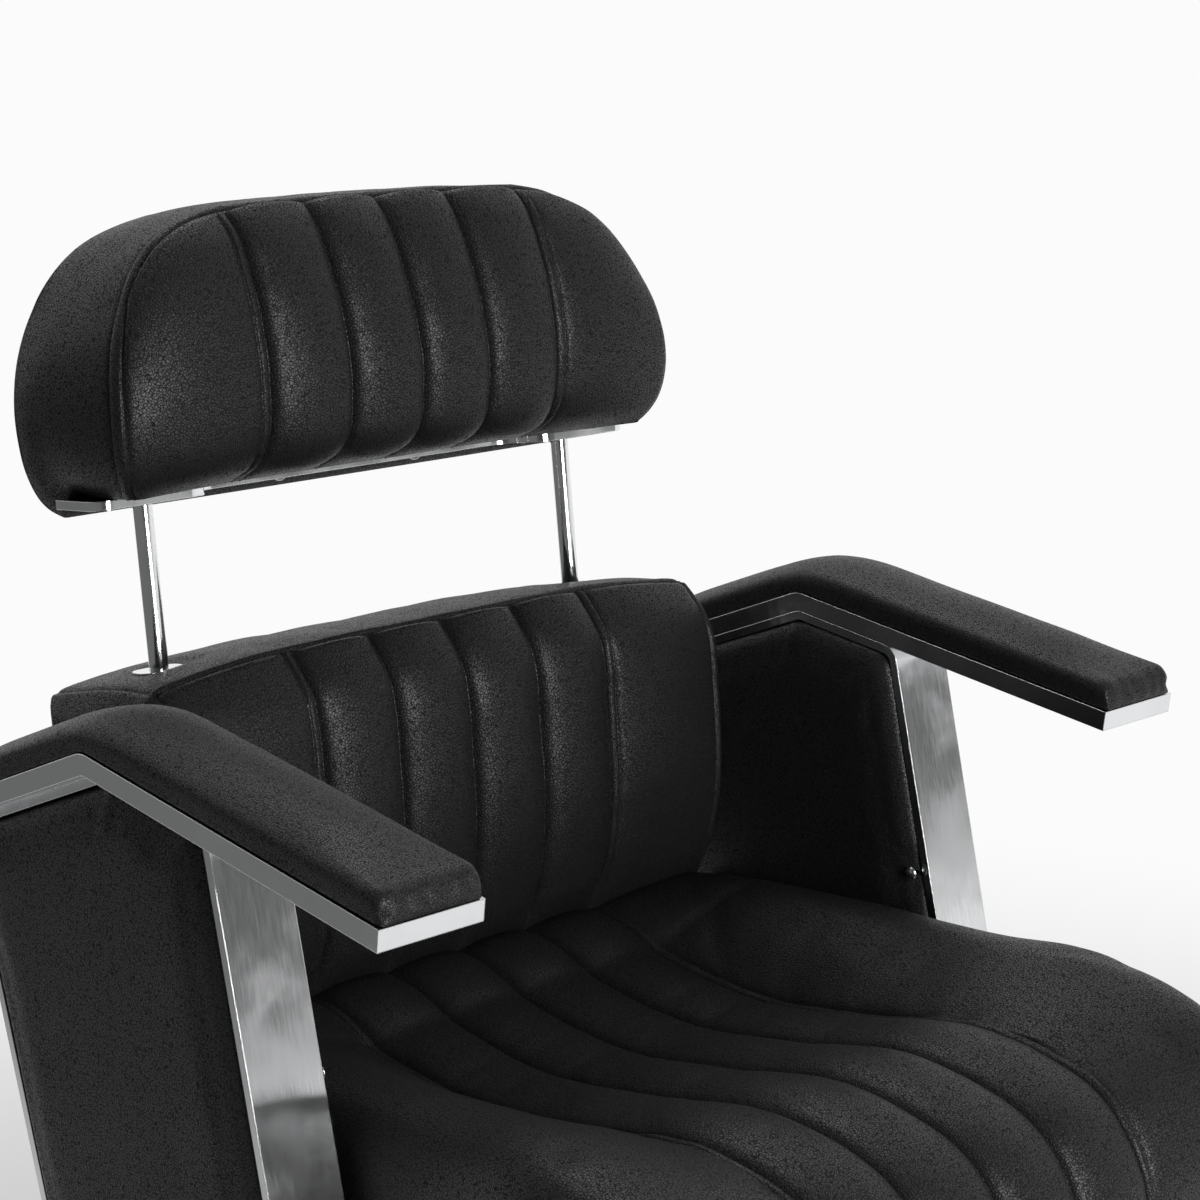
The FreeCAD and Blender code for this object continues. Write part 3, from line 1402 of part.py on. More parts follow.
def make_back_frame():
    """Board, guide tubes and their straps inside the backrest, and the bolts of its arms."""
    half = back_board_half
    top = s.arm_plate_long + s.back_board_over_arms
    board = body("back_board")
    outline = box_outline(-half, half, s.back_board_low, top)
    pad(board, sketch(board, "XZ_Plane", [outline], -board_rear), s.back_board_thick)
    bolt_x = arm_plate_inner + s.back_bolt_inset
    places = [(bolt_x * side, z) for side in (-1, 1) for z in back_bolt_heights()]
    hole = s.back_bolt_width / 2 + s.running_gap
    holes = [(x, z, "circle", hole) for x, z in places]
    pocket(board, sketch(board, "XZ_Plane", holes), s.back_board_thick * 4, both_ways=True)
    lean(board, ZERO)
    bolts = []
    for x, z in places:
        seat = point(x, board_rear + s.arm_plate_thick, z)
        bolts.append(hex_bolt(s.back_bolt_head, s.back_bolt_head_thick, s.back_bolt_width,
                              s.back_bolt_long, seat, Vector(0, -1, 0)))
    shaped("back_bolts", Part.makeCompound(bolts), back_frame())

    tube_low = escutcheon_low - s.guide_tube_long
    straps = []
    for side, name in ((1, "left"), (-1, "right")):
        tube = body(f"guide_tube_{name}")
        outer = s.guide_tube_width / 2
        bore = s.post_width / 2 + s.running_gap
        rings = [(ZERO, s.post_back, "circle", outer), (ZERO, s.post_back, "circle", bore)]
        pad(tube, sketch(tube, "XY_Plane", rings, tube_low), s.guide_tube_long)
        lean(tube, post_x * side)
        for share in STRAP_PLACE_SHARES:
            straps.append(guide_strap(post_x * side, tube_low + s.guide_tube_long * share))
        make_escutcheon(side, name)
    shaped("guide_straps", Part.makeCompound(straps), back_frame())


def guide_strap(x, middle):
    """A steel strap that arches over a guide tube and holds it against the board by its two ears."""
    low = float(middle - s.guide_strap_high / 2)
    left, centre = float(x), float(s.post_back)
    inner = float(s.guide_tube_width / 2 + s.side_gap)
    outer = inner + float(s.guide_strap_thick)
    half = float(s.guide_strap_wide) / 2
    seat = float(board_rear)
    ear = seat + float(s.guide_strap_thick)
    outline = edge_chain([
        Vector(left - half, seat, low),
        Vector(left - inner, seat, low),
        Vector(left - inner, centre, low),
        (Vector(left, centre + inner, low), Vector(left + inner, centre, low)),
        Vector(left + inner, seat, low),
        Vector(left + half, seat, low),
        Vector(left + half, ear, low),
        Vector(left + outer, ear, low),
        Vector(left + outer, centre, low),
        (Vector(left, centre + outer, low), Vector(left - outer, centre, low)),
        Vector(left - outer, ear, low),
        Vector(left - half, ear, low),
    ])
    return Part.Face(outline).extrude(Vector(0, 0, float(s.guide_strap_high)))


def make_escutcheon(side, name):
    """The flat chrome plate round a post where it enters the backrest."""
    half = s.escutcheon_wide / 2
    deep = s.escutcheon_deep / 2
    plate = body(f"escutcheon_{name}")
    outline = box_outline(-half, half, s.post_back - deep, s.post_back + deep)
    hole = (ZERO, s.post_back, "circle", s.post_width / 2 + s.running_gap)
    pad(plate, sketch(plate, "XY_Plane", [outline, hole], escutcheon_low), s.escutcheon_thick)
    fillet(plate, plate.Tip, s.escutcheon_corner, lambda edge: runs_along(edge, Vector(0, 0, 1)))
    lean(plate, post_x * side)


# Headrest

def make_headrest_plate():
    """The chrome plate under the headrest: two lobes that carry the posts, recessed between."""
    wide = plate_half
    lobe = -s.plate_lobe_front
    curve = s.plate_curve_rise
    middle_x = (plate_lobe_start + plate_middle_end) / 2
    middle_y = (s.plate_middle_front + lobe) / 2
    outline = [
        (wide, s.plate_rear),
        (-wide, s.plate_rear),
        (-wide, lobe),
        (-plate_lobe_start, lobe, -curve),
        (-middle_x, middle_y, curve),
        (-plate_middle_end, s.plate_middle_front),
        (plate_middle_end, s.plate_middle_front, curve),
        (middle_x, middle_y, -curve),
        (plate_lobe_start, lobe),
        (wide, lobe),
    ]
    low = plate_top - s.plate_thick
    plate = body("headrest_plate")
    pad(plate, sketch(plate, "XY_Plane", [outline], low), s.plate_thick)
    fillet(plate, plate.Tip, s.plate_corner, is_front_corner(wide, lobe))
    holes = [(x, y, "circle", s.head_screw_width / 2 + s.running_gap) for x, y in head_screw_places()]
    pocket(plate, sketch(plate, "XY_Plane", holes, plate_top), s.plate_thick + s.overrun)
    lean(plate, ZERO)


def is_front_corner(wide, lobe):
    def test(edge):
        if not runs_along(edge, Vector(0, 0, 1)):
            return False
        place = edge.CenterOfMass
        return abs(abs(place.x) - float(wide)) < 1e-6 and abs(place.y - float(lobe)) < 1e-6
    return test


def head_board_middle():
    """How far back the middle of the headrest's board stands."""
    return (s.plate_middle_front + s.plate_rear) / 2 + s.side_gap


def head_screw_places():
    return [(head_board_half * share, head_board_middle()) for share in HEAD_SCREW_SHARES]


def make_headrest_frame():
    low = plate_top - s.plate_thick
    for side, name in ((1, "left"), (-1, "right")):
        post = body(f"headrest_post_{name}")
        round_bar = sketch(post, "XY_Plane", [(ZERO, s.post_back, "circle", s.post_width / 2)], low)
        pad(post, round_bar, s.post_long, downward=True)
        half_way = float(low - s.post_long / 2)
        fillet(post, post.Tip, s.post_width / 6, lambda edge: edge.BoundBox.ZMax < half_way)
        lean(post, post_x * side)
    half = head_board_half
    middle = head_board_middle()
    board = body("headrest_board")
    outline = box_outline(-half, half, plate_top, plate_top + s.head_board_high)
    rear = middle + s.head_board_thick / 2
    pad(board, sketch(board, "XZ_Plane", [outline], -rear), s.head_board_thick)
    fillet(board, board.Tip, s.head_board_high / 3, is_upper_corner(half, plate_top + s.head_board_high))
    pilot = s.head_screw_width / 2 + s.running_gap
    deep = s.head_screw_long - s.plate_thick + s.overrun
    holes = [(x, y, "circle", pilot) for x, y in head_screw_places()]
    pocket(board, sketch(board, "XY_Plane", holes, plate_top), deep, downward=True)
    lean(board, ZERO)
    screws = []
    for x, y in head_screw_places():
        screws.append(dome_screw(s.head_screw_head, s.head_screw_rise, s.head_screw_width, s.head_screw_long,
                                 point(x, y, low), Vector(0, 0, 1)))
    shaped("headrest_screws", Part.makeCompound(screws), back_frame())


def is_upper_corner(wide, high):
    def test(edge):
        if not runs_along(edge, Vector(0, 1, 0)):
            return False
        place = edge.CenterOfMass
        return abs(abs(place.x) - float(wide)) < 1e-6 and abs(place.z - float(high)) < 1e-6
    return test


def make_headrest_cushion():
    """A D-shaped cushion with four channels, let down over the plate by a lip behind it."""
    low = float(plate_top + s.cushion_gap)
    rear = float(s.head_rear)
    high = float(s.head_high)
    lip_front = float(s.head_lip_front)

    def section(x, sewn, top_share=1.0, seam_share=1.0, belly_share=1.0, raise_share=0.0, lip_share=1.0):
        seam_y = -float(s.head_seam_front) * seam_share
        belly = (float(s.head_belly) - (float(s.seam_deep) if sewn else 0.0)) * belly_share
        base = low + high * raise_share
        top = low + high * top_share - (float(s.seam_deep) * HEAD_TOP_SEAM_SHARE if sewn else 0.0)
        lip = float(s.head_lip) * lip_share
        places = []
        for up, out in HEAD_FRONT_SHARES:
            places.append(Vector(x, seam_y - belly * out, base + (top - base) * up))
        return edge_chain([
            Vector(x, lip_front, base),
            Vector(x, lip_front, base - lip * HEAD_LIP_FRONT_SHARE),
            (Vector(x, (lip_front + rear) / 2, base - lip),
             Vector(x, rear, base - lip * HEAD_LIP_REAR_SHARE)),
            Vector(x, rear, top),
            (Vector(x, (rear + seam_y) / 2, top + float(s.seam_deep)), Vector(x, seam_y, top)),
            (places[0], places[1]),
            (places[2], places[3]),
            (places[4], places[5]),
        ])

    seams = [0.0, float(head_double_seam * HEAD_SINGLE_SEAM_SHARE), float(head_double_seam)]
    wide = float(head_edge)
    ends = [section(seams[-1], True)]
    for across, *shares in HEAD_END_SHARES:
        ends.append(section(wide * across, False, *shares))
    shape = channelled(section, seams, [ends])
    half = head_board_half + s.cushion_gap
    middle = head_board_middle()
    deep = s.head_board_thick / 2 + s.cushion_gap
    hollow = block(-half, half, middle - deep, middle + deep, plate_top - s.overrun,
                   plate_top + s.head_board_high + s.cushion_gap)
    shaped("headrest_cushion", shape.cut(hollow).Solids[0], back_frame())


def check_and_write():
    """Look for failed objects and wrong shapes, then write every piece."""
    doc.recompute()
    for item in doc.Objects:
        if "Invalid" in item.State or "Error" in item.State:
            raise ValueError(f"{item.Label} failed: {item.State}")
    for part in pieces:
        if part.Shape.isNull() or not part.Shape.isValid() or not part.Shape.Solids:
            raise ValueError(f"{part.Label} has no valid solid")
    os.makedirs("parts", exist_ok=True)
    for part in pieces:
        part.Shape.exportStep(f"parts/{part.Label}.step")
    print(len(pieces), "pieces")


def main():
    make_pump(make_base())
    make_column()
    make_pedal()
    make_seat_frame()
    make_lift_head()
    for side, name in ((1, "left"), (-1, "right")):
        make_arm_bar(side, name)
        make_side_frame(side, name)
        make_side_panel(side, name)
        make_arm_pad(side, name)
        make_hinge(side, name)
    make_panel_screws()
    make_release()
    make_footrest()
    make_seat_cushion()
    make_back_frame()
    make_backrest()
    make_headrest_plate()
    make_headrest_frame()
    make_headrest_cushion()
    check_and_write()


main()
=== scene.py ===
"""Dresses a threading chair: sewn cushions, arm pads, side panels, stitches, finishes and its stage."""

import json
import math

import bmesh
import bpy
import numpy as np
from mathutils import Matrix, Vector, noise


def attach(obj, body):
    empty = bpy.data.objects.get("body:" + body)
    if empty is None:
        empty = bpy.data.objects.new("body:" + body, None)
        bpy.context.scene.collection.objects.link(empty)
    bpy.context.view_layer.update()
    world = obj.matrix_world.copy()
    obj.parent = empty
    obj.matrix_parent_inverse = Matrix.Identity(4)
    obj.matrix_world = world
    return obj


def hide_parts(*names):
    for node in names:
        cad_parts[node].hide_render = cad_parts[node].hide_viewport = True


bl_info = {
    "name": "Threading Chair",
    "version": (1, 0, 0),
    "blender": (4, 5, 0),
    "location": "3D View > Sidebar > Chair",
    "description": "Upholstery, stitching and finishes of a threading chair",
    "category": "Object",
}

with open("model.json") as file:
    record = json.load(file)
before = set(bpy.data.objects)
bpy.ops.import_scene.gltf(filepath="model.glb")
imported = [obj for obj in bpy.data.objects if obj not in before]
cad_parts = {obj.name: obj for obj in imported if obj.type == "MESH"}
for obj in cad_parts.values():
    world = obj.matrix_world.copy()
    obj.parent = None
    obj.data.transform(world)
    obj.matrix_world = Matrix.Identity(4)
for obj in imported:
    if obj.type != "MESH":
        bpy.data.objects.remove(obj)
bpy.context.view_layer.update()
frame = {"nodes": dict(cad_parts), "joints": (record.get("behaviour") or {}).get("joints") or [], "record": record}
NODES = frame["nodes"]
JOINTS = {joint["name"]: joint for joint in frame["joints"]}

MM = 0.001
PIVOT = Vector(JOINTS["back_recline"]["pos_m"])
LEAN = Vector(JOINTS["headrest_height"]["axis"]).normalized()
BACK_PLACE = Matrix.Translation(PIVOT) @ Matrix((
    (1.0, 0.0, 0.0, 0.0),
    (0.0, LEAN.z, LEAN.y, 0.0),
    (0.0, -LEAN.y, LEAN.z, 0.0),
    (0.0, 0.0, 0.0, 1.0),
))
SEAT_PLACE = Matrix.Identity(4)
WHITE = (1.0, 1.0, 1.0, 1.0)
CLOTH_FRAMES = 20

# Columns of a cushion beside a sewn line, and the least gap between two columns, in millimetres
BESIDE_LINE = (-7.0, -3.4, -1.3, 0.0, 1.3, 3.4, 7.0)
LEAST_GAP = 0.9
# Lengths of a cushion's front and top lines, from its lower end to the rim and from there to the rear
HEAD_LENGTHS = (200.0, 92.0)
BACK_LENGTHS = (240.0, 118.0)
SEAT_LENGTHS = (625.0, 92.0)
PAD_LENGTHS = (76.0, 11.0)
# Rows that lie close together before the rim and behind it, and the width of the sewn strip there
BEFORE_RIM = (0.0, 1.4, 3.8, 8.0)
BEHIND_RIM = (0.0, 1.4, 4.0, 7.0, 9.0, 10.8, 14.0)
RIM_STRIP = 9.0
END_STRIP = 6.0
# A distance that is past every seam's reach
FAR = 99.0
# The cover is held this close behind the rim, beside the posts, and at the headrest's rear and lower end
RIM_HELD = 11.0
POST_HELD = 24.0
HEAD_REAR_HELD = 86.0
HEAD_LOW_HELD = 14.0
# Where the posts' escutcheons lie in the backrest's top, and how far their hollows reach
POST_ACROSS = 175.0
ESCUTCHEON_BACK = 8.0
ESCUTCHEON_HIGH = 358.9
ESCUTCHEON_WIDE = 26.0
ESCUTCHEON_DEEP = 18.0
# In metres: how much the seat's rear is raised under the backrest, the arm pads' pleats and pinched
# corners, and how the side panels' cover stands proud and is drawn in round a screw
UNDER_BACK = 0.0045
PLEAT_STEP = 0.0021
PLEAT_DEEP = 0.00035
PINCH_DEEP = 0.0026
PANEL_PROUD = 0.0026
SCREW_DRAW = 0.0034
SCREW_REACH = 0.016
# How wide the dips of the seams are, and how far their puckers reach
SEAM_WIDE = 2.6
STRIP_SEAM_WIDE = 2.2
STRIP_EDGE_WIDE = 1.5
PUCKER_REACH = 10.0

# Faces of a cushion's grid
FRONT, TOP, REAR, UNDER, END = range(5)

# Headrest outline in millimetres, in the backrest's own frame
HEAD_EDGE = 226.0
HEAD_LOW = 473.7
HEAD_HIGH = 178.0
HEAD_REAR = 55.0
HEAD_LIP = 14.5
HEAD_LIP_FRONT = 37.0
HEAD_DOUBLE = 122.0
HEAD_SINGLE = 57.0
# Share of the height, then how far back the front's sewn lines lie: at the middle and at the double seam
HEAD_FRONT = [
    (0.0, -17.0, -19.0), (0.043, -36.0, -38.0), (0.08, -52.0, -47.5), (0.126, -60.5, -54.5),
    (0.20, -64.5, -60.0), (0.27, -67.0, -62.5), (0.39, -68.0, -64.5), (0.53, -65.0, -62.5), (0.65, -59.5, -58.5),
    (0.73, -54.5, -54.5), (0.80, -50.0, -50.5), (0.87, -44.5, -45.0), (0.91, -40.5, -39.5), (0.947, -34.5, -32.0),
    (0.974, -28.0, -29.5),
]
# The front seam: across, back and share of the height, over the top to the corner and down the side
HEAD_TOP_SEAM = [
    (122.0, -29.5, 0.960), (135.0, -30.0, 0.947), (145.0, -30.6, 0.934), (155.0, -31.6, 0.914),
    (165.0, -33.2, 0.887), (175.0, -34.8, 0.854), (185.0, -37.0, 0.807), (195.0, -40.2, 0.747),
    (204.5, -44.5, 0.662),
]
HEAD_SIDE_SEAM = [
    (210.0, -39.0, 0.0), (216.0, -45.0, 0.035), (220.0, -50.5, 0.08), (223.0, -55.0, 0.14),
    (224.7, -57.4, 0.20), (225.0, -58.8, 0.30), (223.1, -57.3, 0.40), (218.5, -53.9, 0.50), (211.0, -48.5, 0.60),
    (204.5, -44.5, 0.662),
]
# The rear edge in the same way
HEAD_TOP_REAR = [
    (122.0, 55.0, 0.958), (145.0, 55.0, 0.930), (162.0, 55.0, 0.898), (179.0, 55.0, 0.848),
    (190.0, 55.0, 0.80), (206.0, 55.0, 0.70), (209.0, 55.0, 0.675),
]
HEAD_SIDE_REAR = [
    (209.0, 46.0, -0.080), (214.0, 55.0, -0.050), (221.4, 55.0, 0.0), (225.6, 55.0, 0.05), (228.5, 55.0, 0.10),
    (231.2, 55.0, 0.20), (231.8, 55.0, 0.30), (229.8, 55.0, 0.40), (225.2, 55.0, 0.50), (217.3, 55.0, 0.60),
    (209.0, 55.0, 0.675),
]

# Backrest outline, in the same frame
BACK_EDGE = 235.0
BACK_BAND = 222.0
BACK_LOW = 140.5
BACK_REAR = 57.5
BACK_SEAM = 59.0
BACK_BELLY = 26.0
BACK_FRONT = [(0.0, -0.42), (0.21, 0.54), (0.345, 0.835), (0.63, 1.0), (0.891, 0.80), (0.966, 0.29), (1.0, 0.0)]
# Distance across, height of the front and the rear top, pull of the front and the rear, rise of the edge
BACK_ENDS = [
    (0.0, 369.5, 359.0, 0.0, 0.0, 0.0),
    (100.0, 369.5, 359.0, 0.0, 0.0, 0.0),
    (124.0, 369.3, 358.8, 0.0, 0.0, 0.0),
    (150.0, 368.0, 357.2, 0.0, 0.0, 0.0),
    (173.0, 366.0, 355.4, 0.0, 0.0, 0.0),
    (198.0, 363.2, 353.2, 0.0, 0.0, 0.0),
    (212.0, 361.4, 351.6, 0.0, 0.0, 0.0),
    (222.0, 359.0, 349.6, 0.0, 0.5, 0.0),
    (228.0, 355.0, 346.0, 1.5, 2.5, 2.5),
    (232.5, 349.0, 341.0, 5.0, 7.0, 7.0),
    (235.0, 341.0, 334.0, 11.0, 14.0, 14.0),
]

# Seat outline in the chair's frame
SEAT_EDGE = 246.5
SEAT_LOW = 412.4
SEAT_FRONT = -285.0
SEAT_REAR = 211.0
SEAT_DIP = 93.0
SEAT_NOSE = 131.0
SEAT_BACK = 107.0
SEAT_BOLSTER = 42.0
SEAM_DOUBLE = 124.0
SEAM_SINGLE = 60.0
# Distance across, share of the bolster's rise, share by which the front draws in
SEAT_ENDS = [
    (0.0, 0.0, 0.0),
    (100.0, 0.0, 0.0),
    (124.0, 0.02, 0.0),
    (179.1, 0.60, 0.0),
    (222.0, 1.0, 0.0),
    (237.9, 0.86, 0.29),
    (246.5, 0.36, 0.44),
]

# Arm bars and their pads
ARM_FRONT = -140.0
ARM_FRONT_HIGH = 712.0
ARM_APEX = 128.7
ARM_FRONT_SLOPE = 6.8
ARM_REAR_SLOPE = 22.4
ARM_CENTRE = 290.65
ARM_PAD_HALF = 34.0
ARM_APEX_ROUND = 7.0
PAD_REAR = 316.0

# Sizes and colours that a user would change

def length(title, words, amount):
    return bpy.props.FloatProperty(name=title, description=words, default=amount, unit="LENGTH", precision=5)


def share(title, words, amount):
    return bpy.props.FloatProperty(name=title, description=words, default=amount, min=0.0, max=1.0,
                                   subtype="FACTOR")


def number(title, words, amount):
    return bpy.props.FloatProperty(name=title, description=words, default=amount, min=0.0)


def colour(title, words, amount):
    return bpy.props.FloatVectorProperty(name=title, description=words, default=amount, min=0.0, max=1.0,
                                         subtype="COLOR", size=3)


class ChairLeather(bpy.types.PropertyGroup):
    """Colour, grain and gloss of the coated fabric."""

    shade: colour("Shade", "Colour of the grain's pebbles", (0.0072, 0.0072, 0.0075))
    # The colour between the pebbles is painted shade: the creases are coloured darker than the pebbles' tops
    painted_crease_shade: colour("Crease Shade", "Colour between the pebbles", (0.0031, 0.0031, 0.0033))
    grain_size: length("Grain Size", "Width of one pebble of the grain", 0.0018)
    grain_depth: length("Grain Depth", "Depth of the creases between pebbles", 0.00046)
    roughness: share("Roughness", "How dull the pebbles are", 0.45)
    gloss: share("Gloss", "How much light the grain mirrors", 0.18)
    coat: share("Coat", "Strength of the even shine on top of the pebbles", 0.52)
    coat_roughness: share("Coat Roughness", "How dull that shine is", 0.43)
    pad_grain_depth: length("Arm Pad Grain Depth", "Depth of the arm pads' finer grain", 0.00030)


class ChairSeams(bpy.types.PropertyGroup):
    """Shape of the sewn channels and seams."""

    puff: length("Channel Puff", "How far a channel swells between its seams", 0.0058)
    side_puff: length("Side Puff", "How far the plain outer panels swell", 0.0034)
    crease: length("Crease Depth", "How deep a seam pulls into the foam", 0.0034)
    strip: length("Strip Width", "Width between the two lines of a double seam", 0.0070)
    strip_rise: length("Strip Rise", "How far the strip between them stands proud", 0.0011)
    pressure: number("Foam Pressure", "Pressure of the foam under the cover", 10.0)
    swell_limit: length("Swell Limit", "The most that a point of a cover moves under pressure", 0.0045)


class ChairThread(bpy.types.PropertyGroup):
    """The sewing thread."""

    shade: colour("Shade", "Colour of the thread", (0.008, 0.008, 0.0085))
    stitch: length("Stitch Length", "Length of one stitch", 0.0036)
    gap: length("Stitch Gap", "Space between two stitches", 0.0012)
    thickness: length("Thickness", "Width of the thread", 0.0009)


class ChairMetal(bpy.types.PropertyGroup):
    """The plated and the bare metal."""

    chrome_shade: colour("Chrome Shade", "Colour of the chrome plating", (0.80, 0.81, 0.82))
    chrome_roughness: share("Chrome Roughness", "How dull the polished chrome is", 0.07)
    steel_shade: colour("Steel Shade", "Colour of the bare steel", (0.55, 0.55, 0.56))
    paint_shade: colour("Paint Shade", "Colour of the black paint", (0.018, 0.018, 0.019))
    edge_radius: length("Edge Radius", "Rounding of the metal's edges", 0.0009)


class ChairStage(bpy.types.PropertyGroup):
    """Floor, backdrop, lamps and camera."""

    floor_shade: colour("Floor Shade", "Colour of the floor", (0.86, 0.86, 0.86))
    backdrop: number("Backdrop", "Brightness of the backdrop", 0.965)
    room: number("Room Light", "Brightness of the light from all sides", 0.12)
    front_room: number("Front Room", "Brightness of the room in front, as seen in reflections", 0.12)
    side_room: number("Side Room", "Brightness of the room's left side, as seen in reflections", 0.16)
    dark_room: number("Dark Room", "Brightness of the room behind the viewer, as seen in reflections", 0.05)
    key_power: number("Key Lamp", "Power of the large lamp in watts", 70.0)
    fill_power: number("Fill Lamp", "Power of the lamp at the right in watts", 3.0)
    top_power: number("Top Lamp", "Power of the lamp overhead in watts", 7.0)


GROUPS = {
    "chair_leather": ChairLeather,
    "chair_seams": ChairSeams,
    "chair_thread": ChairThread,
    "chair_metal": ChairMetal,
    "chair_stage": ChairStage,
}


def settings(title):
    return getattr(bpy.context.scene, title)


# Lines and sections

def lengths_along(line):
    """How far along a line each of its points lies."""
    return np.concatenate([[0.0], np.cumsum(np.linalg.norm(np.diff(line, axis=0), axis=1))])


def smooth_line(points, steps=10):
    """A smooth line through the points, with small steps between each two."""
    points = np.asarray(points, float)
    places = lengths_along(points)
    slopes = np.gradient(points, places, axis=0)
    parts = []
    t = np.linspace(0.0, 1.0, steps, endpoint=False)[:, None]
    for k in range(len(points) - 1):
        gap = places[k + 1] - places[k]
        parts.append(hermite(t, gap, points[k], points[k + 1], slopes[k], slopes[k + 1]))
    parts.append(points[-1:])
    return np.concatenate(parts)


def hermite(t, gap, start, end, start_slope, end_slope):
    return ((2 * t ** 3 - 3 * t ** 2 + 1) * start + (t ** 3 - 2 * t ** 2 + t) * gap * start_slope
            + (3 * t ** 2 - 2 * t ** 3) * end + (t ** 3 - t ** 2) * gap * end_slope)


def row_at(table, place):
    """The values of a table at a place of its first column, on a smooth line."""
    table = np.asarray(table, float)
    places, values = table[:, 0], table[:, 1:]
    slopes = np.gradient(values, places, axis=0)
    k = int(np.clip(np.searchsorted(places, place) - 1, 0, len(places) - 2))
    gap = places[k + 1] - places[k]
    t = (place - places[k]) / gap
    return hermite(t, gap, values[k], values[k + 1], slopes[k], slopes[k + 1])


def at_shares(line, shares):
    """Points of a line at shares of its length."""
    line = np.asarray(line, float)
    places = lengths_along(line)
    wanted = np.asarray(shares) * places[-1]
    return np.stack([np.interp(wanted, places, line[:, k]) for k in range(line.shape[1])], axis=1)


def raised(points):
    """Points whose last value is a share of the headrest's height, in millimetres."""
    points = np.array(points, float)
    points[:, 2] = HEAD_LOW + HEAD_HIGH * points[:, 2]
    return points


def patch(left, right, low, high, v, count=60):
    """The line at a share v of a surface that fills four edges, each a smooth line."""
    s = np.linspace(0.0, 1.0, count)[:, None]
    sides = (1 - v) * at_shares(left, s[:, 0]) + v * at_shares(right, s[:, 0])
    low_spot, high_spot = at_shares(low, [v])[0], at_shares(high, [v])[0]
    corners = ((1 - s) * ((1 - v) * left[0] + v * right[0]) + s * ((1 - v) * left[-1] + v * right[-1]))
    return sides + (1 - s) * low_spot + s * high_spot - corners


def headrest_section(place):
    """Front, top, rear and underside of the headrest at a place across."""
    x = min(place, HEAD_DOUBLE)
    near_double = (x / HEAD_DOUBLE) ** 2
    front = [(x, middle + (double - middle) * near_double, up) for up, middle, double in HEAD_FRONT]
    front[-1] = (x, front[-1][1], 0.974 - 0.014 * near_double ** 1.5)
    front = smooth_line(raised(front), 6)
    top_rear = HEAD_LOW + HEAD_HIGH * (0.985 - 0.027 * near_double ** 1.5)
    low_rear = HEAD_LOW - HEAD_LIP
    rear = smooth_line([(x, HEAD_REAR, top_rear), (x, HEAD_REAR, (top_rear + low_rear) / 2),
                        (x, HEAD_REAR, low_rear + 8.0), (x, 46.0, low_rear)])
    tucked = smooth_line([(x, 46.0, low_rear), (x, HEAD_LIP_FRONT, HEAD_LOW - 7.0), (x, 35.0, HEAD_LOW),
                          (x, 0.0, HEAD_LOW), tuple(front[0])])
    top = smooth_line([tuple(front[-1]), (x, 10.0, (front[-1][2] + top_rear) / 2 + 2.5), (x, HEAD_REAR, top_rear)])
    if place <= HEAD_DOUBLE:
        return front, top, rear, tucked
    v = (place - HEAD_DOUBLE) / (HEAD_EDGE - HEAD_DOUBLE)
    side_seam, top_seam = smooth_line(raised(HEAD_SIDE_SEAM)), smooth_line(raised(HEAD_TOP_SEAM))
    side_rear, rear_top = smooth_line(raised(HEAD_SIDE_REAR)), smooth_line(raised(HEAD_TOP_REAR))
    low = np.array([front[0], side_seam[0]])
    outer = patch(front, side_seam, low, top_seam, v)
    s = np.linspace(0.0, 1.0, len(outer))
    outer[:, 1] -= 5.0 * math.sin(math.pi * v) ** 0.8 * np.sin(math.pi * s) ** 0.7
    low_line = np.array([rear[-1], side_rear[0]])
    behind = patch(rear[::-1], side_rear, low_line, rear_top, v)[::-1]
    over = (1 - v) * at_shares(top, s) + v * at_shares([side_seam[-1], side_rear[-1]], s)
    over += (1 - s[:, None]) * (outer[-1] - over[0]) + s[:, None] * (behind[0] - over[-1])
    end_tuck = [side_rear[0], (213.0, 36.0, HEAD_LOW - 5.0), (212.0, 33.0, HEAD_LOW), (210.0, 0.0, HEAD_LOW),
                side_seam[0]]
    below = (1 - v) * at_shares(tucked, s) + v * at_shares(smooth_line(end_tuck), s)
    below += (1 - s[:, None]) * (behind[-1] - below[0]) + s[:, None] * (outer[0] - below[-1])
    return outer, over, behind, below


def flat_sections(x, *lines):
    """Lines of one plane, as points with their distance across."""
    return [np.column_stack([np.full(len(line), x), line]) for line in lines]


def backrest_section(x):
    top, top_rear, pull, rear_pull, rise = row_at(BACK_ENDS, x)
    base = BACK_LOW + rise
    seam = -BACK_SEAM + pull
    front = [(seam - BACK_BELLY * out, base + (top - base) * up) for up, out in BACK_FRONT]
    rear = BACK_REAR - rear_pull
    return flat_sections(
        x,
        smooth_line(front),
        smooth_line([(seam, top), ((seam + rear) / 2, (top + top_rear) / 2 + 3.0), (rear, top_rear)]),
        smooth_line([(rear, top_rear), (rear, (top_rear + base) / 2), (rear, base)]),
        smooth_line([(rear, base), (front[0][0], base)]),
    )


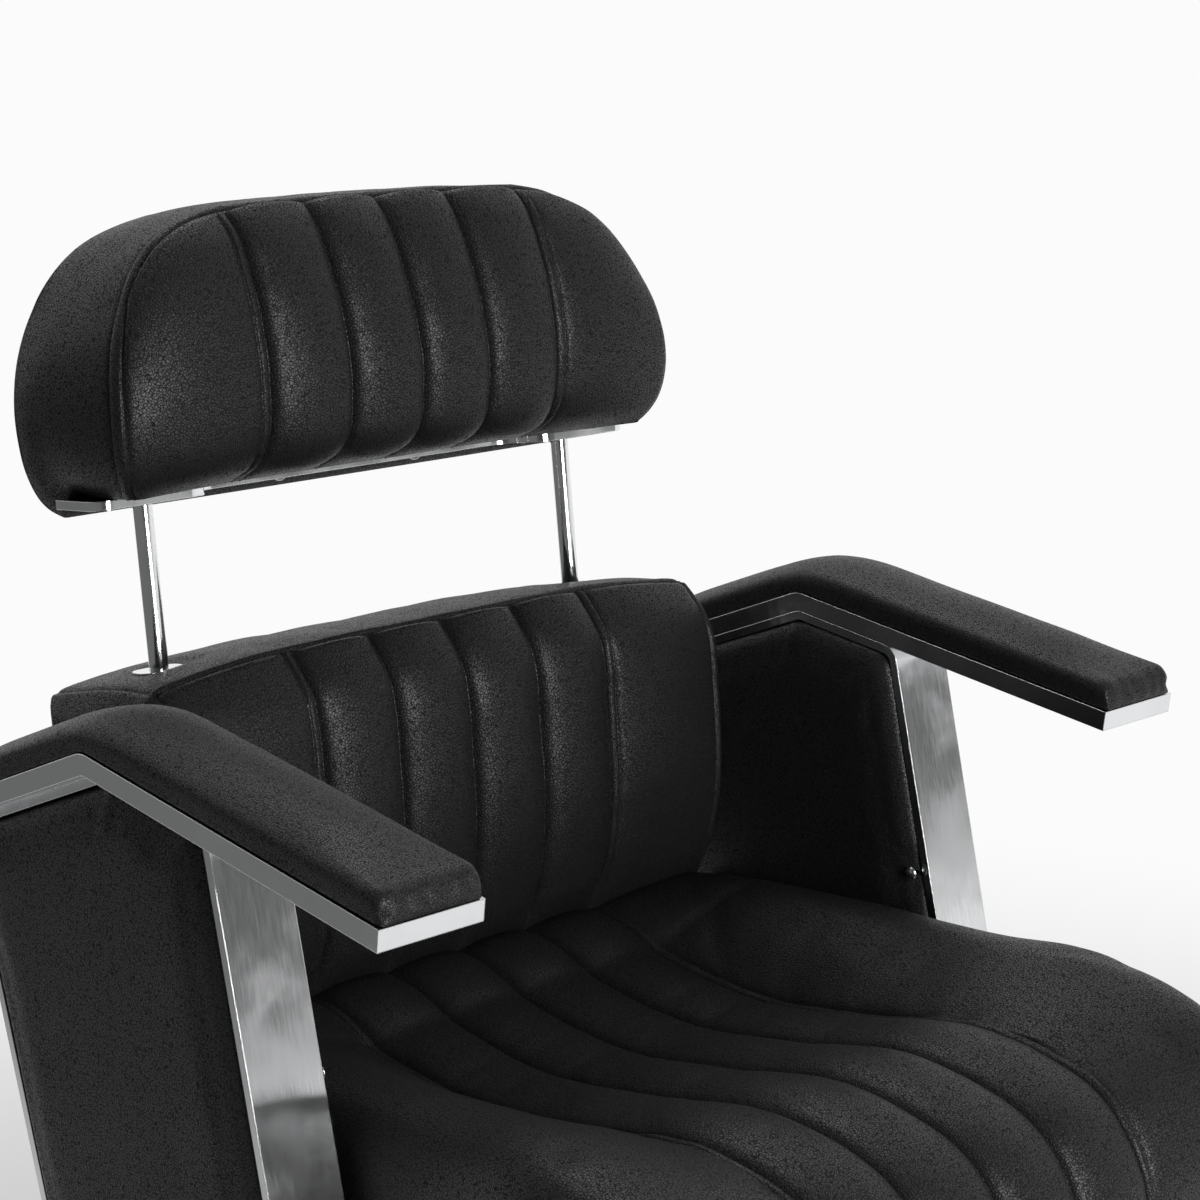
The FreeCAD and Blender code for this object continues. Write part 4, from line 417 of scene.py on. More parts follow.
def seat_section(x):
    bolster_share, draw_share = row_at(SEAT_ENDS, x)
    bolster = SEAT_BOLSTER * max(bolster_share, 0.0)
    long = SEAT_REAR - SEAT_FRONT
    dip = SEAT_LOW + SEAT_DIP + bolster
    nose = SEAT_LOW + SEAT_NOSE + bolster * 0.45
    back = SEAT_LOW + SEAT_BACK + bolster * 0.1
    inset = SEAT_BOLSTER * max(draw_share, 0.0)
    front = SEAT_FRONT + inset
    rear = SEAT_REAR - inset * 0.3
    front_high = nose - SEAT_NOSE * 0.52
    return flat_sections(
        x,
        smooth_line([
            (front + long * 0.035, SEAT_LOW),
            (front + long * 0.012, SEAT_LOW + 22.0),
            (front, front_high),
            (front + long * 0.055, nose - SEAT_NOSE * 0.16),
            (SEAT_REAR - long * 0.78, nose),
            (SEAT_REAR - long * 0.56, dip + (nose - dip) * 0.42),
            (SEAT_REAR - long * 0.36, dip),
            (SEAT_REAR - long * 0.20, dip + (back - dip) * 0.33),
            (rear - long * 0.03, back + 2.0),
            (rear - long * 0.004, back - SEAT_BACK * 0.01),
            (rear, back - SEAT_BACK * 0.06),
        ]),
        smooth_line([(rear, back - SEAT_BACK * 0.06), (rear, SEAT_LOW)]),
        smooth_line([(rear, SEAT_LOW), (front + long * 0.12, SEAT_LOW)]),
        smooth_line([(front + long * 0.12, SEAT_LOW), (front + long * 0.035, SEAT_LOW)]),
    )


def filled(places, step):
    """Places with even steps between each two."""
    full = [places[0]]
    for low, high in zip(places, places[1:]):
        parts = max(1, round((high - low) / step))
        full += [low + (high - low) * (k + 1) / parts for k in range(parts)]
    return full


def columns_between(edge, lines, step):
    """Places across a cushion, close together beside each sewn line."""
    beside = {line + offset for line in lines for offset in BESIDE_LINE}
    half = {0.0, edge, *[place for place in beside if 0.0 <= place < edge]}
    ordered = [0.0]
    for place in sorted(half, key=lambda place: (place not in lines, place)):
        if all(abs(place - other) > LEAST_GAP for other in ordered):
            ordered.append(place)
    full = filled(sorted(ordered), step)
    return np.array([-place for place in full[:0:-1]] + full)


def rows_between(long, start_offsets, end_offsets, step):
    """Shares of a line, close together at its start and its end."""
    places = sorted({*start_offsets, *[long - offset for offset in end_offsets]})
    return np.array(filled(places, step)) / long


class Cushion:
    """A closed grid of quads through sections, with marks for its seams."""

    def __init__(self, title, section, columns, long_rows, short_rows, place, lengths, bulges, sewn_sides=False):
        self.columns = columns
        self.long_count = len(long_rows)
        self.short_count = len(short_rows)
        self.loop = 2 * (self.long_count - 1) + 2 * (self.short_count - 1)
        self.edge = max(abs(columns[0]), abs(columns[-1]))
        front_long, top_long = lengths
        long_back, short_back = 1.0 - long_rows[::-1], 1.0 - short_rows[::-1]
        side_way = sewn_sides * 1.0
        rings, across, rim, low, side = [], [], [], [], []
        for place_across in columns:
            front, top, rear, under = section(place_across)
            rings.append(np.concatenate([
                at_shares(front, long_rows), at_shares(top, short_rows)[1:],
                at_shares(rear, long_back)[1:], at_shares(under, short_back)[1:-1],
            ]))
            to_top = (1.0 - long_rows) * front_long
            to_side = self.edge - abs(place_across) if side_way else 1e3
            across.append(np.full(self.loop, place_across))
            rim.append(np.concatenate([
                -np.minimum(to_top, to_side), short_rows[1:] * top_long,
                np.full(self.long_count - 1, 500.0), np.full(self.short_count - 2, 500.0),
            ]))
            low.append(np.concatenate([long_rows * front_long, np.full(self.short_count - 1, front_long),
                                       long_back[:0:-1] * front_long, np.zeros(self.short_count - 2)]))
            side.append(np.repeat([FRONT, TOP, REAR, UNDER],
                                  [self.long_count, self.short_count - 1, self.long_count - 1,
                                   self.short_count - 2]))
        faces = []
        for c in range(len(columns) - 1):
            for r in range(self.loop):
                after = (r + 1) % self.loop
                faces.append((self.index(c, r), self.index(c + 1, r), self.index(c + 1, after),
                              self.index(c, after)))
        self.caps = {}
        for c, bulge in zip((0, len(columns) - 1), bulges):
            self.close_end(c, bulge, rings, faces, long_rows, short_rows)
            count = len(rings[-1])
            across.append(np.full(count, math.copysign(self.edge + 1.0, columns[c])))
            deep = np.tile(short_rows[1:-1] * top_long, self.long_count - 2)
            rim.append(deep if side_way else np.full(count, 500.0))
            low.append(np.repeat(long_rows[1:-1] * front_long, self.short_count - 2))
            side.append(np.full(count, END))
        self.across = np.concatenate(across)
        self.rim = np.concatenate(rim)
        self.low = np.concatenate(low)
        self.side = np.concatenate(side)
        spots = np.concatenate(rings) * MM
        mesh = bpy.data.meshes.new(title)
        mesh.from_pydata([place @ Vector(spot) for spot in spots], [], faces)
        for label in ("across", "rim", "low"):
            mesh.attributes.new(label, "FLOAT", "POINT").data.foreach_set("value", getattr(self, label))
        self.piece = placed(title, mesh)
        face_outward(mesh)

    def index(self, column, row):
        return column * self.loop + row % self.loop

    def column_at(self, x):
        return int(np.argmin(np.abs(self.columns - np.clip(x, -self.edge, self.edge))))

    def close_end(self, c, bulge, rings, faces, long_rows, short_rows):
        """Fill the open end at a column with a grid between its four edges."""
        n, m = self.long_count, self.short_count
        ring = rings[c]
        top_start, rear_end = n - 1, 2 * n + m - 3
        start = sum(len(part) for part in rings)
        local = {}
        for i in range(n):
            local[i, 0] = i
            local[i, m - 1] = top_start + m - 1 + (n - 1 - i)
        for j in range(m):
            local[n - 1, j] = top_start + j
            local[0, j] = (rear_end + (m - 1 - j)) % self.loop
        numbers = {key: self.index(c, value) for key, value in local.items()}
        spots = []
        for i in range(1, n - 1):
            for j in range(1, m - 1):
                s, t = long_rows[i], short_rows[j]
                edges = ((1 - t) * ring[local[i, 0]] + t * ring[local[i, m - 1]]
                         + (1 - s) * ring[local[0, j]] + s * ring[local[n - 1, j]])
                corners = ((1 - s) * (1 - t) * ring[local[0, 0]] + (1 - s) * t * ring[local[0, m - 1]]
                           + s * (1 - t) * ring[local[n - 1, 0]] + s * t * ring[local[n - 1, m - 1]])
                swelling = math.sin(math.pi * s) * math.sin(math.pi * t)
                numbers[i, j] = start + len(spots)
                spots.append(edges - corners + np.array(bulge) * swelling)
        for i in range(n - 1):
            for j in range(m - 1):
                faces.append((numbers[i, j], numbers[i + 1, j], numbers[i + 1, j + 1], numbers[i, j + 1]))
        rings.append(np.array(spots))
        self.caps[c] = numbers

    def down_front(self, x):
        """Marks of the front's line at a place across, from its lower to its upper end."""
        return [self.index(self.column_at(x), row) for row in range(self.long_count)]

    def along_row(self, row, half=math.inf):
        """Marks of a row, as far as a distance across on each side."""
        return [self.index(column, row) for column in range(self.column_at(-half), self.column_at(half) + 1)]

    def round_rim(self, row):
        """Marks of a line up one end, over the top and down the other end, a row behind the front."""
        last = len(self.columns) - 1
        up = [self.caps[0][i, row] for i in range(self.long_count - 1)]
        down = [self.caps[last][i, row] for i in reversed(range(self.long_count - 1))]
        return up + self.along_row(self.long_count - 1 + row) + down


def mirrored(section):
    """A section of the left half, for both halves."""
    def both(x):
        side = math.copysign(1.0, x)
        return [np.asarray(line) * (side, 1.0, 1.0) for line in section(abs(x))]
    return both


def placed(title, data):
    """A new object in the scene."""
    piece = bpy.data.objects.new(title, data)
    bpy.context.scene.collection.objects.link(piece)
    return piece


def face_outward(mesh):
    work = bmesh.new()
    work.from_mesh(mesh)
    bmesh.ops.recalc_face_normals(work, faces=work.faces)
    work.to_mesh(mesh)
    work.free()
    mesh.update()


def read(data, label, width=3):
    """One value of each vertex, as an array."""
    found = np.empty(len(data) * width)
    data.foreach_get(label, found)
    return found.reshape(-1, width) if width > 1 else found


def points_of(piece):
    return read(piece.data.vertices, "co")


def normals_of(piece):
    return read(piece.data.vertices, "normal")


def values_of(piece, label):
    return read(piece.data.attributes[label].data, "value", 1)


def move_points(piece, spots):
    piece.data.vertices.foreach_set("co", np.asarray(spots, float).ravel())
    piece.data.update()


def swell(piece, held, pressure, limit):
    """Let the cover swell under the foam's pressure, with its sewn and hidden parts held."""
    group = piece.vertex_groups.new(name="held")
    group.add(np.nonzero(held)[0].tolist(), 1.0, "REPLACE")
    before = points_of(piece)
    cloth = piece.modifiers.new("foam", "CLOTH")
    cloth.settings.vertex_group_mass = "held"
    cloth.settings.use_pressure = True
    cloth.settings.uniform_pressure_force = pressure
    cloth.settings.effector_weights.gravity = 0.0
    cloth.settings.quality = 4
    cloth.collision_settings.use_collision = False
    cloth.collision_settings.use_self_collision = False
    cloth.point_cache.frame_start = 1
    cloth.point_cache.frame_end = CLOTH_FRAMES
    scene = bpy.context.scene
    for step in range(1, CLOTH_FRAMES + 1):
        scene.frame_set(step)
    moved = points_of(piece.evaluated_get(bpy.context.evaluated_depsgraph_get())) - before
    scene.frame_set(1)
    piece.modifiers.remove(cloth)
    piece.vertex_groups.remove(group)
    far = np.maximum(np.linalg.norm(moved, axis=1, keepdims=True), 1e-9)
    print(piece.name, "swelled by", round(float(far.max()) / MM, 2), "mm at most")
    move_points(piece, before + moved * np.tanh(far / limit) * limit / far)


def applied(piece, kind, inputs=None, **values):
    """Add a modifier and make its result the piece's own mesh."""
    modifier = piece.modifiers.new("shape", kind)
    for label, value in values.items():
        setattr(modifier, label, value)
    for identifier, value in (inputs or {}).items():
        modifier[identifier] = value
    made = piece.evaluated_get(bpy.context.evaluated_depsgraph_get())
    mesh = bpy.data.meshes.new_from_object(made)
    piece.modifiers.remove(modifier)
    old = piece.data
    piece.data = mesh
    mesh.name = piece.name
    bpy.data.meshes.remove(old)
    return piece


def refined(piece):
    return applied(piece, "SUBSURF", levels=1, render_levels=1)


def ruffle(spots, size, seed):
    """Soft noise at points, about from minus one to one, with hills of a size."""
    shift = Vector((seed * 7.3, seed * 3.1, seed * 1.7))
    return np.array([noise.noise(Vector(spot) / size + shift) for spot in spots])


def valley(distance, wide):
    return np.exp(-np.abs(distance) / wide)


def bump_between(value, low, high, power=0.75):
    """A smooth swelling from zero at both ends to one in the middle."""
    part = np.clip((value - low) / (high - low), 0.0, 1.0)
    return np.clip(4 * part * (1 - part), 0.0, 1.0) ** power


def sew_channels(piece, single, double, band, sewn, seed):
    """Press the seams into the front, swell the channels and raise the double seams' strips."""
    seams = settings("chair_seams")
    signed = values_of(piece, "across")
    x = np.abs(signed)
    spots, normals = points_of(piece), normals_of(piece)
    half_strip = seams.strip / MM / 2
    inner, outer = double - half_strip, double + half_strip
    puff = (bump_between(x, 0.0, single) + bump_between(x, single, inner)) * seams.puff
    puff += bump_between(x, outer, band) * seams.side_puff
    puff += bump_between(x, inner, outer, 0.4) * seams.strip_rise
    dip = (valley(x, SEAM_WIDE) + valley(x - single, SEAM_WIDE) + valley(x - inner, STRIP_SEAM_WIDE)) * seams.crease
    dip += valley(x - outer, STRIP_EDGE_WIDE) * seams.crease * 0.4
    near = sum(valley(x - line, PUCKER_REACH) for line in (0.0, single, inner, outer))
    height = spots[:, 2] * 0.9 + spots[:, 1] * -0.45
    pucker = ruffle(np.column_stack([height / 0.009, signed / 26.0, np.zeros(len(x))]), 1.0, seed) * near * 0.0005
    broad = ruffle(spots, 0.055, seed + 1) * 0.0008 + ruffle(spots, 0.022, seed + 2) * 0.00035
    shift = (puff - dip + pucker) * sewn + broad * (values_of(piece, "rim") < 120.0)
    move_points(piece, spots + normals * shift[:, None])


def sew_edge(piece, distance, wide, deep, rise):
    """Press an edge seam in, raise the strip beside it and press its second stitch line."""
    spots, normals = points_of(piece), normals_of(piece)
    shift = (-valley(distance, 1.8) * deep - valley(distance - wide, 1.3) * deep * 0.4
             + bump_between(distance, 0.0, wide, 0.4) * rise)
    move_points(piece, spots + normals * shift[:, None])


# Shader node groups and materials

FLOAT, VECTOR = "NodeSocketFloat", "NodeSocketVector"


def put(socket, value):
    """Link a socket's value to an input, or set the input to a value."""
    if isinstance(value, bpy.types.NodeSocket):
        socket.node.id_data.links.new(value, socket)
    else:
        socket.default_value = value


def opaque(shade):
    return shade if isinstance(shade, bpy.types.NodeSocket) else (*shade, 1.0)


def scaled(shade, factor):
    return [part * factor for part in shade]


class Nodes:
    """Adds nodes to a tree, sets their values and links their inputs."""

    def __init__(self, tree):
        self.tree = tree

    def add(self, kind, inputs=None, **values):
        node = self.tree.nodes.new(kind)
        for label, value in values.items():
            setattr(node, label, value)
        for label, value in (inputs or {}).items():
            put(node.inputs[label], value)
        return node

    def math(self, operation, first, second=0.0, clamp=False):
        return self.add("ShaderNodeMath", {0: first, 1: second}, operation=operation, use_clamp=clamp).outputs[0]

    def vector(self, operation, inputs):
        return self.add("ShaderNodeVectorMath", inputs, operation=operation).outputs

    def dot(self, first, second):
        return self.vector("DOT_PRODUCT", {0: first, 1: second})["Value"]

    def mix(self, factor, first, second):
        """One of two numbers, by a factor."""
        return self.add("ShaderNodeMix", {0: factor, 2: first, 3: second}, data_type="FLOAT").outputs[0]

    def tint(self, factor, first, second):
        """One of two colours, by a factor."""
        return self.add("ShaderNodeMix", {0: factor, 6: opaque(first), 7: opaque(second)},
                        data_type="RGBA").outputs[2]

    def noise(self, vector, scale, detail, **more):
        inputs = {"Vector": vector, "Scale": scale, "Detail": detail, **more}
        return self.add("ShaderNodeTexNoise", inputs).outputs

    def ramp(self, value, low, high, kind="SMOOTHSTEP"):
        """A rise from zero, where a value is low, to one, where it is high."""
        inputs = {"Value": value, "From Min": low, "From Max": high}
        return self.add("ShaderNodeMapRange", inputs, interpolation_type=kind).outputs[0]


class Effect(Nodes):
    """A shader node group with named inputs and outputs, for effects that materials share."""

    def __init__(self, title, inputs, outputs):
        super().__init__(bpy.data.node_groups.new(title, "ShaderNodeTree"))
        for label, (kind, amount) in inputs.items():
            socket = self.tree.interface.new_socket(label, in_out="INPUT", socket_type=kind)
            if amount is not None:
                socket.default_value = amount
        for label, kind in outputs.items():
            self.tree.interface.new_socket(label, in_out="OUTPUT", socket_type=kind)
        self.given = self.add("NodeGroupInput").outputs

    def give(self, **outputs):
        self.add("NodeGroupOutput", outputs)


def make_pebbled_grain(title):
    """Pebbled grain: rounded cells of uneven size with fine creases between them."""
    effect = Effect(title, {"Vector": (VECTOR, None), "Grain Size": (FLOAT, 0.002), "Crease Width": (FLOAT, 0.20)},
                    {"Height": FLOAT, "Pebble": FLOAT, "Tone": FLOAT})
    vector, size, crease = (effect.given[label] for label in ("Vector", "Grain Size", "Crease Width"))
    scale = effect.math("DIVIDE", 1.0, size)
    drift = effect.noise(vector, effect.math("MULTIPLY", scale, 0.33), 1.0)["Color"]
    centred = effect.vector("SUBTRACT", {0: drift, 1: (0.5, 0.5, 0.5)})[0]
    shift = effect.vector("SCALE", {0: centred, "Scale": effect.math("MULTIPLY", size, 1.7)})[0]
    bent = effect.vector("ADD", {0: vector, 1: shift})[0]
    cell = {"Vector": bent, "Scale": scale, "Randomness": 0.95}
    inside = effect.add("ShaderNodeTexVoronoi", cell, feature="DISTANCE_TO_EDGE").outputs["Distance"]
    toned = effect.add("ShaderNodeTexVoronoi", cell).outputs["Color"]
    tone = effect.add("ShaderNodeSeparateColor", {"Color": toned}).outputs
    pebble = effect.ramp(inside, 0.0, crease)
    dome = effect.ramp(inside, 0.0, 0.42)
    fine = effect.noise(vector, effect.math("MULTIPLY", scale, 2.6), 2.0)["Fac"]
    round_top = effect.math("ADD", effect.math("MULTIPLY", dome, 0.42), effect.math("MULTIPLY", pebble, 0.58))
    crown = effect.math("MULTIPLY", round_top, effect.mix(tone[0], 0.86, 1.0))
    height = effect.math("ADD", crown, effect.math("MULTIPLY", fine, 0.05))
    effect.give(Height=height, Pebble=pebble, Tone=tone[1])


def make_handling_marks(title):
    """Faint handling marks: soft patches with finer streaks in them."""
    effect = Effect(title, {"Vector": (VECTOR, None), "Patch Size": (FLOAT, 0.06), "Streaks": (FLOAT, 0.3)},
                    {"Mask": FLOAT})
    vector = effect.given["Vector"]
    scale = effect.math("DIVIDE", 1.0, effect.given["Patch Size"])
    soft = effect.ramp(effect.noise(vector, scale, 3.0)["Fac"], 0.42, 0.68)
    streaks = effect.noise(vector, effect.math("MULTIPLY", scale, 9.0), 4.0, Distortion=1.2)["Fac"]
    effect.give(Mask=effect.math("MULTIPLY", soft, effect.mix(effect.given["Streaks"], 1.0, streaks), True))


def make_rounded_edges(title):
    """Rounded edges: a normal that softens them, and a mask of where they are."""
    effect = Effect(title, {"Radius": (FLOAT, 0.001)}, {"Mask": FLOAT, "Normal": VECTOR})
    bevel = effect.add("ShaderNodeBevel", {"Radius": effect.given["Radius"]}, samples=4).outputs[0]
    flat = effect.add("ShaderNodeNewGeometry").outputs["Normal"]
    effect.give(Mask=effect.ramp(effect.dot(bevel, flat), 0.995, 0.8, "LINEAR"), Normal=bevel)


def make_fine_lines(title):
    """Fine parallel lines, as brushing or wood grain leaves, along one axis of the vector."""
    effect = Effect(title, {"Vector": (VECTOR, None), "Stretch": (VECTOR, (900.0, 900.0, 12.0))}, {"Height": FLOAT})
    drawn = effect.vector("MULTIPLY", {0: effect.given["Vector"], 1: effect.given["Stretch"]})[0]
    effect.give(Height=effect.noise(drawn, 1.0, 3.0)["Fac"])


class Finish(Nodes):
    """A material with its shader, its object coordinates and the shared effects placed in it."""

    def __init__(self, title):
        self.material = bpy.data.materials.new(title)
        self.material.use_nodes = True
        super().__init__(self.material.node_tree)
        self.tree.nodes.clear()
        self.shader = self.add("ShaderNodeBsdfPrincipled")
        self.end = self.add("ShaderNodeOutputMaterial", {"Surface": self.shader.outputs[0]})
        self.spot = self.add("ShaderNodeTexCoord").outputs["Object"]

    def effect(self, title, inputs):
        """The outputs of a shared effect with its own values; the effect is built at its first use."""
        if title not in bpy.data.node_groups:
            EFFECTS[title](title)
        node = self.add("ShaderNodeGroup", node_tree=bpy.data.node_groups[title])
        for label, value in inputs.items():
            put(node.inputs[label], value)
        if "Vector" in node.inputs:
            put(node.inputs["Vector"], self.spot)
        return node.outputs

    def marks(self, size, streaks):
        return self.effect("handling_marks", {"Patch Size": size, "Streaks": streaks})["Mask"]

    def lines(self, stretch):
        return self.effect("fine_lines", {"Stretch": stretch})["Height"]

    def edges(self):
        return self.effect("rounded_edges", {"Radius": settings("chair_metal").edge_radius})

    def bands(self, scale, distortion, direction):
        return self.add("ShaderNodeTexWave", {"Vector": self.spot, "Scale": scale, "Distortion": distortion,
                                              "Detail": 1.0},
                        wave_type="BANDS", bands_direction=direction).outputs["Fac"]

    def bump(self, height, strength, distance, normal=None):
        inputs = {"Height": height, "Strength": strength, "Distance": distance}
        if normal is not None:
            inputs["Normal"] = normal
        return self.add("ShaderNodeBump", inputs).outputs[0]

    def made(self, inputs):
        """The material, once the shader has its inputs."""
        for label, value in inputs.items():
            put(self.shader.inputs[label], value)
        return self.material


EFFECTS = {
    "pebbled_grain": make_pebbled_grain,
    "handling_marks": make_handling_marks,
    "rounded_edges": make_rounded_edges,
    "fine_lines": make_fine_lines,
}


def leather(title, grain_share=1.0, depth=None):
    """Black coated fabric with a pebbled grain, painted shade in its creases and a soft shine on the pebbles."""
    if title in bpy.data.materials:
        return bpy.data.materials[title]
    looks = settings("chair_leather")
    finish = Finish(title)
    grain = finish.effect("pebbled_grain", {"Grain Size": looks.grain_size * grain_share})
    pebble = grain["Pebble"]
    toned = finish.tint(finish.math("MULTIPLY", grain["Tone"], 0.35), looks.shade, scaled(looks.shade, 1.5))
    dull = finish.mix(pebble, min(1.0, looks.roughness + 0.35), looks.roughness)
    return finish.made({
        # Base colour: painted shade in the creases between pebbles, with a random tone on each pebble
        "Base Color": finish.tint(pebble, looks.painted_crease_shade, toned),
        "Roughness": finish.math("SUBTRACT", dull, finish.math("MULTIPLY", finish.marks(0.09, 0.5), 0.07)),
        "Normal": finish.bump(grain["Height"], 1.0, looks.grain_depth if depth is None else depth),
        "Coat Weight": finish.math("MULTIPLY", pebble, looks.coat),
        "Coat Roughness": looks.coat_roughness,
        "Specular IOR Level": looks.gloss,
        "IOR": 1.5,
    })


def thread():
    """Twisted black thread with a slight shine."""
    if "black_thread" in bpy.data.materials:
        return bpy.data.materials["black_thread"]
    shade = settings("chair_thread").shade
    finish = Finish("black_thread")
    twist = finish.bands(900.0, 2.0, "DIAGONAL")
    return finish.made({
        "Base Color": finish.tint(twist, scaled(shade, 0.6), scaled(shade, 1.9)),
        "Roughness": finish.mix(twist, 0.85, 0.70),
        "Normal": finish.bump(twist, 0.5, 0.0002),
        "Specular IOR Level": 0.22,
    })


def chrome(title, brushed=0.0, stretch=(900.0, 900.0, 10.0)):
    """Polished chrome with softened edges, faint waves and handling marks."""
    looks = settings("chair_metal")
    finish = Finish(title)
    marks, lines = finish.marks(0.05, 0.6), finish.lines(stretch)
    rough = finish.math("ADD", finish.math("MULTIPLY", marks, 0.10 + brushed * 0.15), looks.chrome_roughness)
    rolled = finish.bump(finish.noise(finish.spot, 14.0, 1.0)["Fac"], 0.2, 0.0006, finish.edges()["Normal"])
    return finish.made({
        "Base Color": finish.tint(finish.math("MULTIPLY", marks, 0.5), looks.chrome_shade,
                                  scaled(looks.chrome_shade, 0.88)),
        "Metallic": 1.0,
        "Roughness": finish.math("ADD", rough, finish.math("MULTIPLY", lines, brushed * 0.35)),
        "Normal": finish.bump(lines, 0.04 + brushed * 0.3, 0.00008, rolled),
    })


def bare_steel():
    """Machined steel with fine turning lines."""
    shade = settings("chair_metal").steel_shade
    finish = Finish("machined_steel")
    lines = finish.lines((30.0, 30.0, 1500.0))
    return finish.made({
        "Base Color": finish.tint(finish.marks(0.04, 0.7), shade, scaled(shade, 0.8)),
        "Metallic": 1.0,
        "Roughness": finish.mix(lines, 0.22, 0.42),
        "Normal": finish.bump(lines, 0.3, 0.0001, finish.edges()["Normal"]),
    })


def black_paint():
    """Baked black paint with a faint orange peel and thin wear on its edges."""
    finish = Finish("baked_black_paint")
    edges = finish.edges()
    wear = finish.math("MULTIPLY", edges["Mask"], 0.35)
    peel = finish.noise(finish.spot, 620.0, 2.0)["Fac"]
    return finish.made({
        "Base Color": finish.tint(wear, settings("chair_metal").paint_shade, (0.075, 0.075, 0.078)),
        "Roughness": finish.mix(finish.marks(0.07, 0.5), 0.38, 0.50),
        "Normal": finish.bump(peel, 0.25, 0.0002, edges["Normal"]),
    })


def moulded(title, shade, roughness, grain, deep):
    """Moulded rubber or plastic with a fine matt grain and dust in it."""
    finish = Finish(title)
    fine = finish.noise(finish.spot, grain, 3.0)["Fac"]
    dusty = [min(1.0, part * 1.9 + 0.004) for part in shade]
    return finish.made({
        "Base Color": finish.tint(finish.math("MULTIPLY", finish.marks(0.03, 0.8), 0.5), shade, dusty),
        "Roughness": finish.mix(fine, roughness - 0.08, roughness + 0.10),
        "Normal": finish.bump(fine, 0.4, deep, finish.edges()["Normal"]),
    })


def plywood():
    """Birch plywood: long grain on its faces, thin plies that show at its edges."""
    finish = Finish("birch_plywood")
    grain = finish.lines((9.0, 140.0, 300.0))
    plies = finish.math("MULTIPLY", finish.bands(95.0, 0.5, "Z"), 0.35)
    tone = finish.tint(grain, (0.50, 0.35, 0.20), (0.72, 0.56, 0.38))
    return finish.made({
        "Base Color": finish.tint(plies, tone, (0.36, 0.23, 0.12)),
        "Roughness": finish.mix(grain, 0.55, 0.75),
        "Normal": finish.bump(grain, 0.3, 0.0003),
    })


def dress(piece, material):
    piece.data.materials.clear()
    piece.data.materials.append(material)


def dress_nodes(titles, material):
    for title in titles:
        dress(NODES[title], material)


def nodes_in_slot(slot):
    return [row["node"] for row in frame["record"]["subparts"] if row["material_slot"] == slot]


def settle(piece, body, material=None, replaced=()):
    """Give a finished piece its material and its body, shade it smooth, and hide the nodes that it stands for."""
    if material is not None:
        dress(piece, material)
    piece.data.polygons.foreach_set("use_smooth", [True] * len(piece.data.polygons))
    piece.data.update()
    if replaced:
        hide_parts(*replaced)
    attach(piece, body)


# Stitches

SEWN_LINES = {}


def keep_line(body, piece, marks):
    """Remember a sewn line of a finished piece, with the direction that its stitches face."""
    SEWN_LINES.setdefault(body, []).append((points_of(piece)[marks], normals_of(piece)[marks]))


def stitch_tree():
    """Stitches along the edges of a line: one short rounded thread per step, lying on the cover."""
    tree = bpy.data.node_groups.new("stitches", "GeometryNodeTree")
    wanted = {"Geometry": "Geometry", "Stitch Length": "Float", "Stitch Gap": "Float",
              "Thread Thickness": "Float", "Seed": "Int", "Material": "Material"}
    for label, kind in wanted.items():
        tree.interface.new_socket(label, in_out="INPUT", socket_type=f"NodeSocket{kind}")
    tree.interface.new_socket("Geometry", in_out="OUTPUT", socket_type="NodeSocketGeometry")
    nodes = Nodes(tree)
    add = nodes.add
    given = add("NodeGroupInput").outputs
    long, thick = given["Stitch Length"], given["Thread Thickness"]
    step = nodes.math("ADD", long, given["Stitch Gap"])
    line = add("GeometryNodeMeshToCurve", {"Mesh": given["Geometry"]})
    spaced = add("GeometryNodeResampleCurve", {"Curve": line.outputs[0], "Length": step}, mode="LENGTH")
    bead = add("GeometryNodeMeshUVSphere", {"Segments": 6, "Rings": 4, "Radius": 0.5})
    size = add("ShaderNodeCombineXYZ", {0: long, 1: thick, 2: nodes.math("MULTIPLY", thick, 0.8)})
    bead_shape = add("GeometryNodeTransform", {"Geometry": bead.outputs["Mesh"], "Scale": size.outputs[0]})
    facing = add("GeometryNodeInputNamedAttribute", {"Name": "facing"}, data_type="FLOAT_VECTOR")
    heading = add("GeometryNodeInputTangent")
    turn = add("FunctionNodeAxesToRotation", {0: facing.outputs[0], 1: heading.outputs[0]},
               primary_axis="Z", secondary_axis="X")
    slant = add("FunctionNodeRandomValue", {"Min": (-0.03, -0.03, 0.04), "Max": (0.03, 0.03, 0.14),
                                            "Seed": given["Seed"]}, data_type="FLOAT_VECTOR")
    tilt = add("FunctionNodeEulerToRotation", {0: slant.outputs[0]})
    turned = add("FunctionNodeRotateRotation", {"Rotation": turn.outputs[0], "Rotate By": tilt.outputs[0]},
                 rotation_space="LOCAL")
    beads = add("GeometryNodeInstanceOnPoints", {"Points": spaced.outputs[0], "Instance": bead_shape.outputs[0],
                                                 "Rotation": turned.outputs[0]})
    real = add("GeometryNodeRealizeInstances", {"Geometry": beads.outputs[0]})
    coloured = add("GeometryNodeSetMaterial", {"Geometry": real.outputs[0], "Material": given["Material"]})
    add("NodeGroupOutput", {0: coloured.outputs[0]})
    return tree


